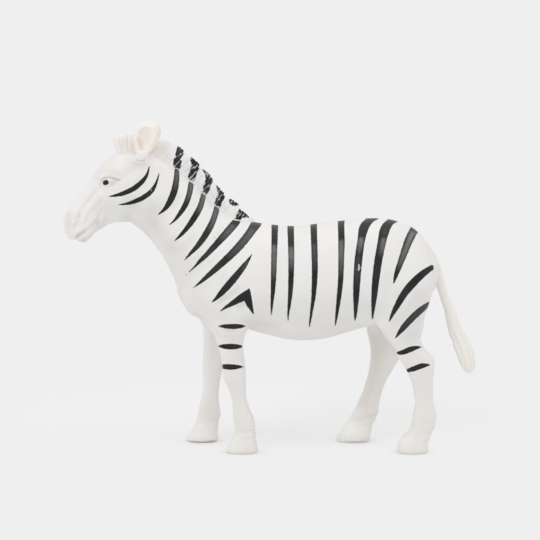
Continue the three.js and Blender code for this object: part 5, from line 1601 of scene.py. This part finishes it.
def studio_floor():
    """The paper floor, which shows the plain backdrop but for the figure's shadows."""
    corners = np.array([(-1, -1, 0), (1, -1, 0), (1, 1, 0), (-1, 1, 0)])
    floor = mesh_object("studio_floor", corners * FLOOR_SIZE, [(0, 1, 2, 3)])
    material, tree = node_material("studio_floor")
    tree.nodes.remove(tree.nodes["Principled BSDF"])
    place = shader_node(tree, "TexCoord").outputs["Object"]
    patch = {"Vector": place, "Location": SHADOW_MIDDLE, "Scale": SHADOW_STRETCH}
    shadow = shader_node(tree, "Mapping", patch, vector_type="TEXTURE").outputs["Vector"]
    distance = shader_node(tree, "VectorMath", {0: shadow}, operation="LENGTH")
    fades = [(distance, SHADOW_SPAN, SHADOW_GLOW_SHARE)]
    for leg in LEGS.values():
        x, y = leg_stations(leg, 2)[0, :2] * MM
        distance = shader_node(tree, "VectorMath", {0: place, 1: (x, y, 0)}, operation="DISTANCE")
        fades.append((distance, CONTACT_SPAN, CONTACT_GLOW_SHARE))
    share = seen_by(tree, "Is Glossy Ray")
    for distance, span, least in fades:
        fade = ranged(tree, distance.outputs["Value"], *span, least, 1, "SMOOTHSTEP")
        share = worked_out(tree, "MULTIPLY", share, fade)
    paper = shader_node(tree, "BsdfDiffuse", {"Color": (*PAPER, 1)})
    glow = shader_node(tree, "Emission", {"Color": (*BACKDROP, 1)})
    output = tree.nodes["Material Output"].inputs["Surface"]
    feed(tree, output, either(tree, share, paper, glow))
    floor.data.materials.append(material)


def studio_room():
    """Even light from all round, which shows as the plain backdrop."""
    world = bpy.data.worlds.new("studio_room")
    bpy.context.scene.world = world
    world.use_nodes = True
    tree = world.node_tree
    tree.nodes.clear()
    room = shader_node(tree, "Background", {"Color": (1, 1, 1, 1), "Strength": ROOM_LIGHT})
    backdrop = shader_node(tree, "Background", {"Color": (*BACKDROP, 1)})
    surface = either(tree, seen_by(tree, "Is Transmission Ray"), room, backdrop)
    shader_node(tree, "OutputWorld", {"Surface": surface})


def aim(made, target):
    """Turns a lamp or a camera towards the target."""
    made.rotation_euler = (target - made.location).to_track_quat("-Z", "Y").to_euler()


def soft_light(name, place, size, power):
    """A round soft lamp that shines on the figure."""
    lamp = bpy.data.lights.new(name, "AREA")
    lamp.shape = "DISK"
    lamp.size = size
    lamp.energy = power
    made = add_object(name, lamp)
    made.location = place
    aim(made, LAMP_TARGET)


def studio_camera():
    """The camera of the view that the stripes are masked from."""
    lens = bpy.data.cameras.new("studio_camera")
    lens.sensor_width = SENSOR
    lens.lens = SENSOR * VIEW_FOCAL_PIXELS / PICTURE
    made = add_object("studio_camera", lens)
    target = Vector(VIEW_TARGET * MM)
    toward = Vector((0, -math.cos(VIEW_RISE), math.sin(VIEW_RISE)))
    made.location = target + VIEW_DISTANCE * MM * toward
    aim(made, target)
    bpy.context.scene.camera = made


bpy.context.scene.view_settings.view_transform = "Standard"
soft_pvc = soft_pvc_group()
stripe_paint = stripe_paint_group()
studio_camera()
studio_room()
studio_floor()
for lamp_name, (lamp_place, lamp_size, lamp_power) in SOFTBOXES.items():
    soft_light(lamp_name, lamp_place, lamp_size, lamp_power)
build_figure()
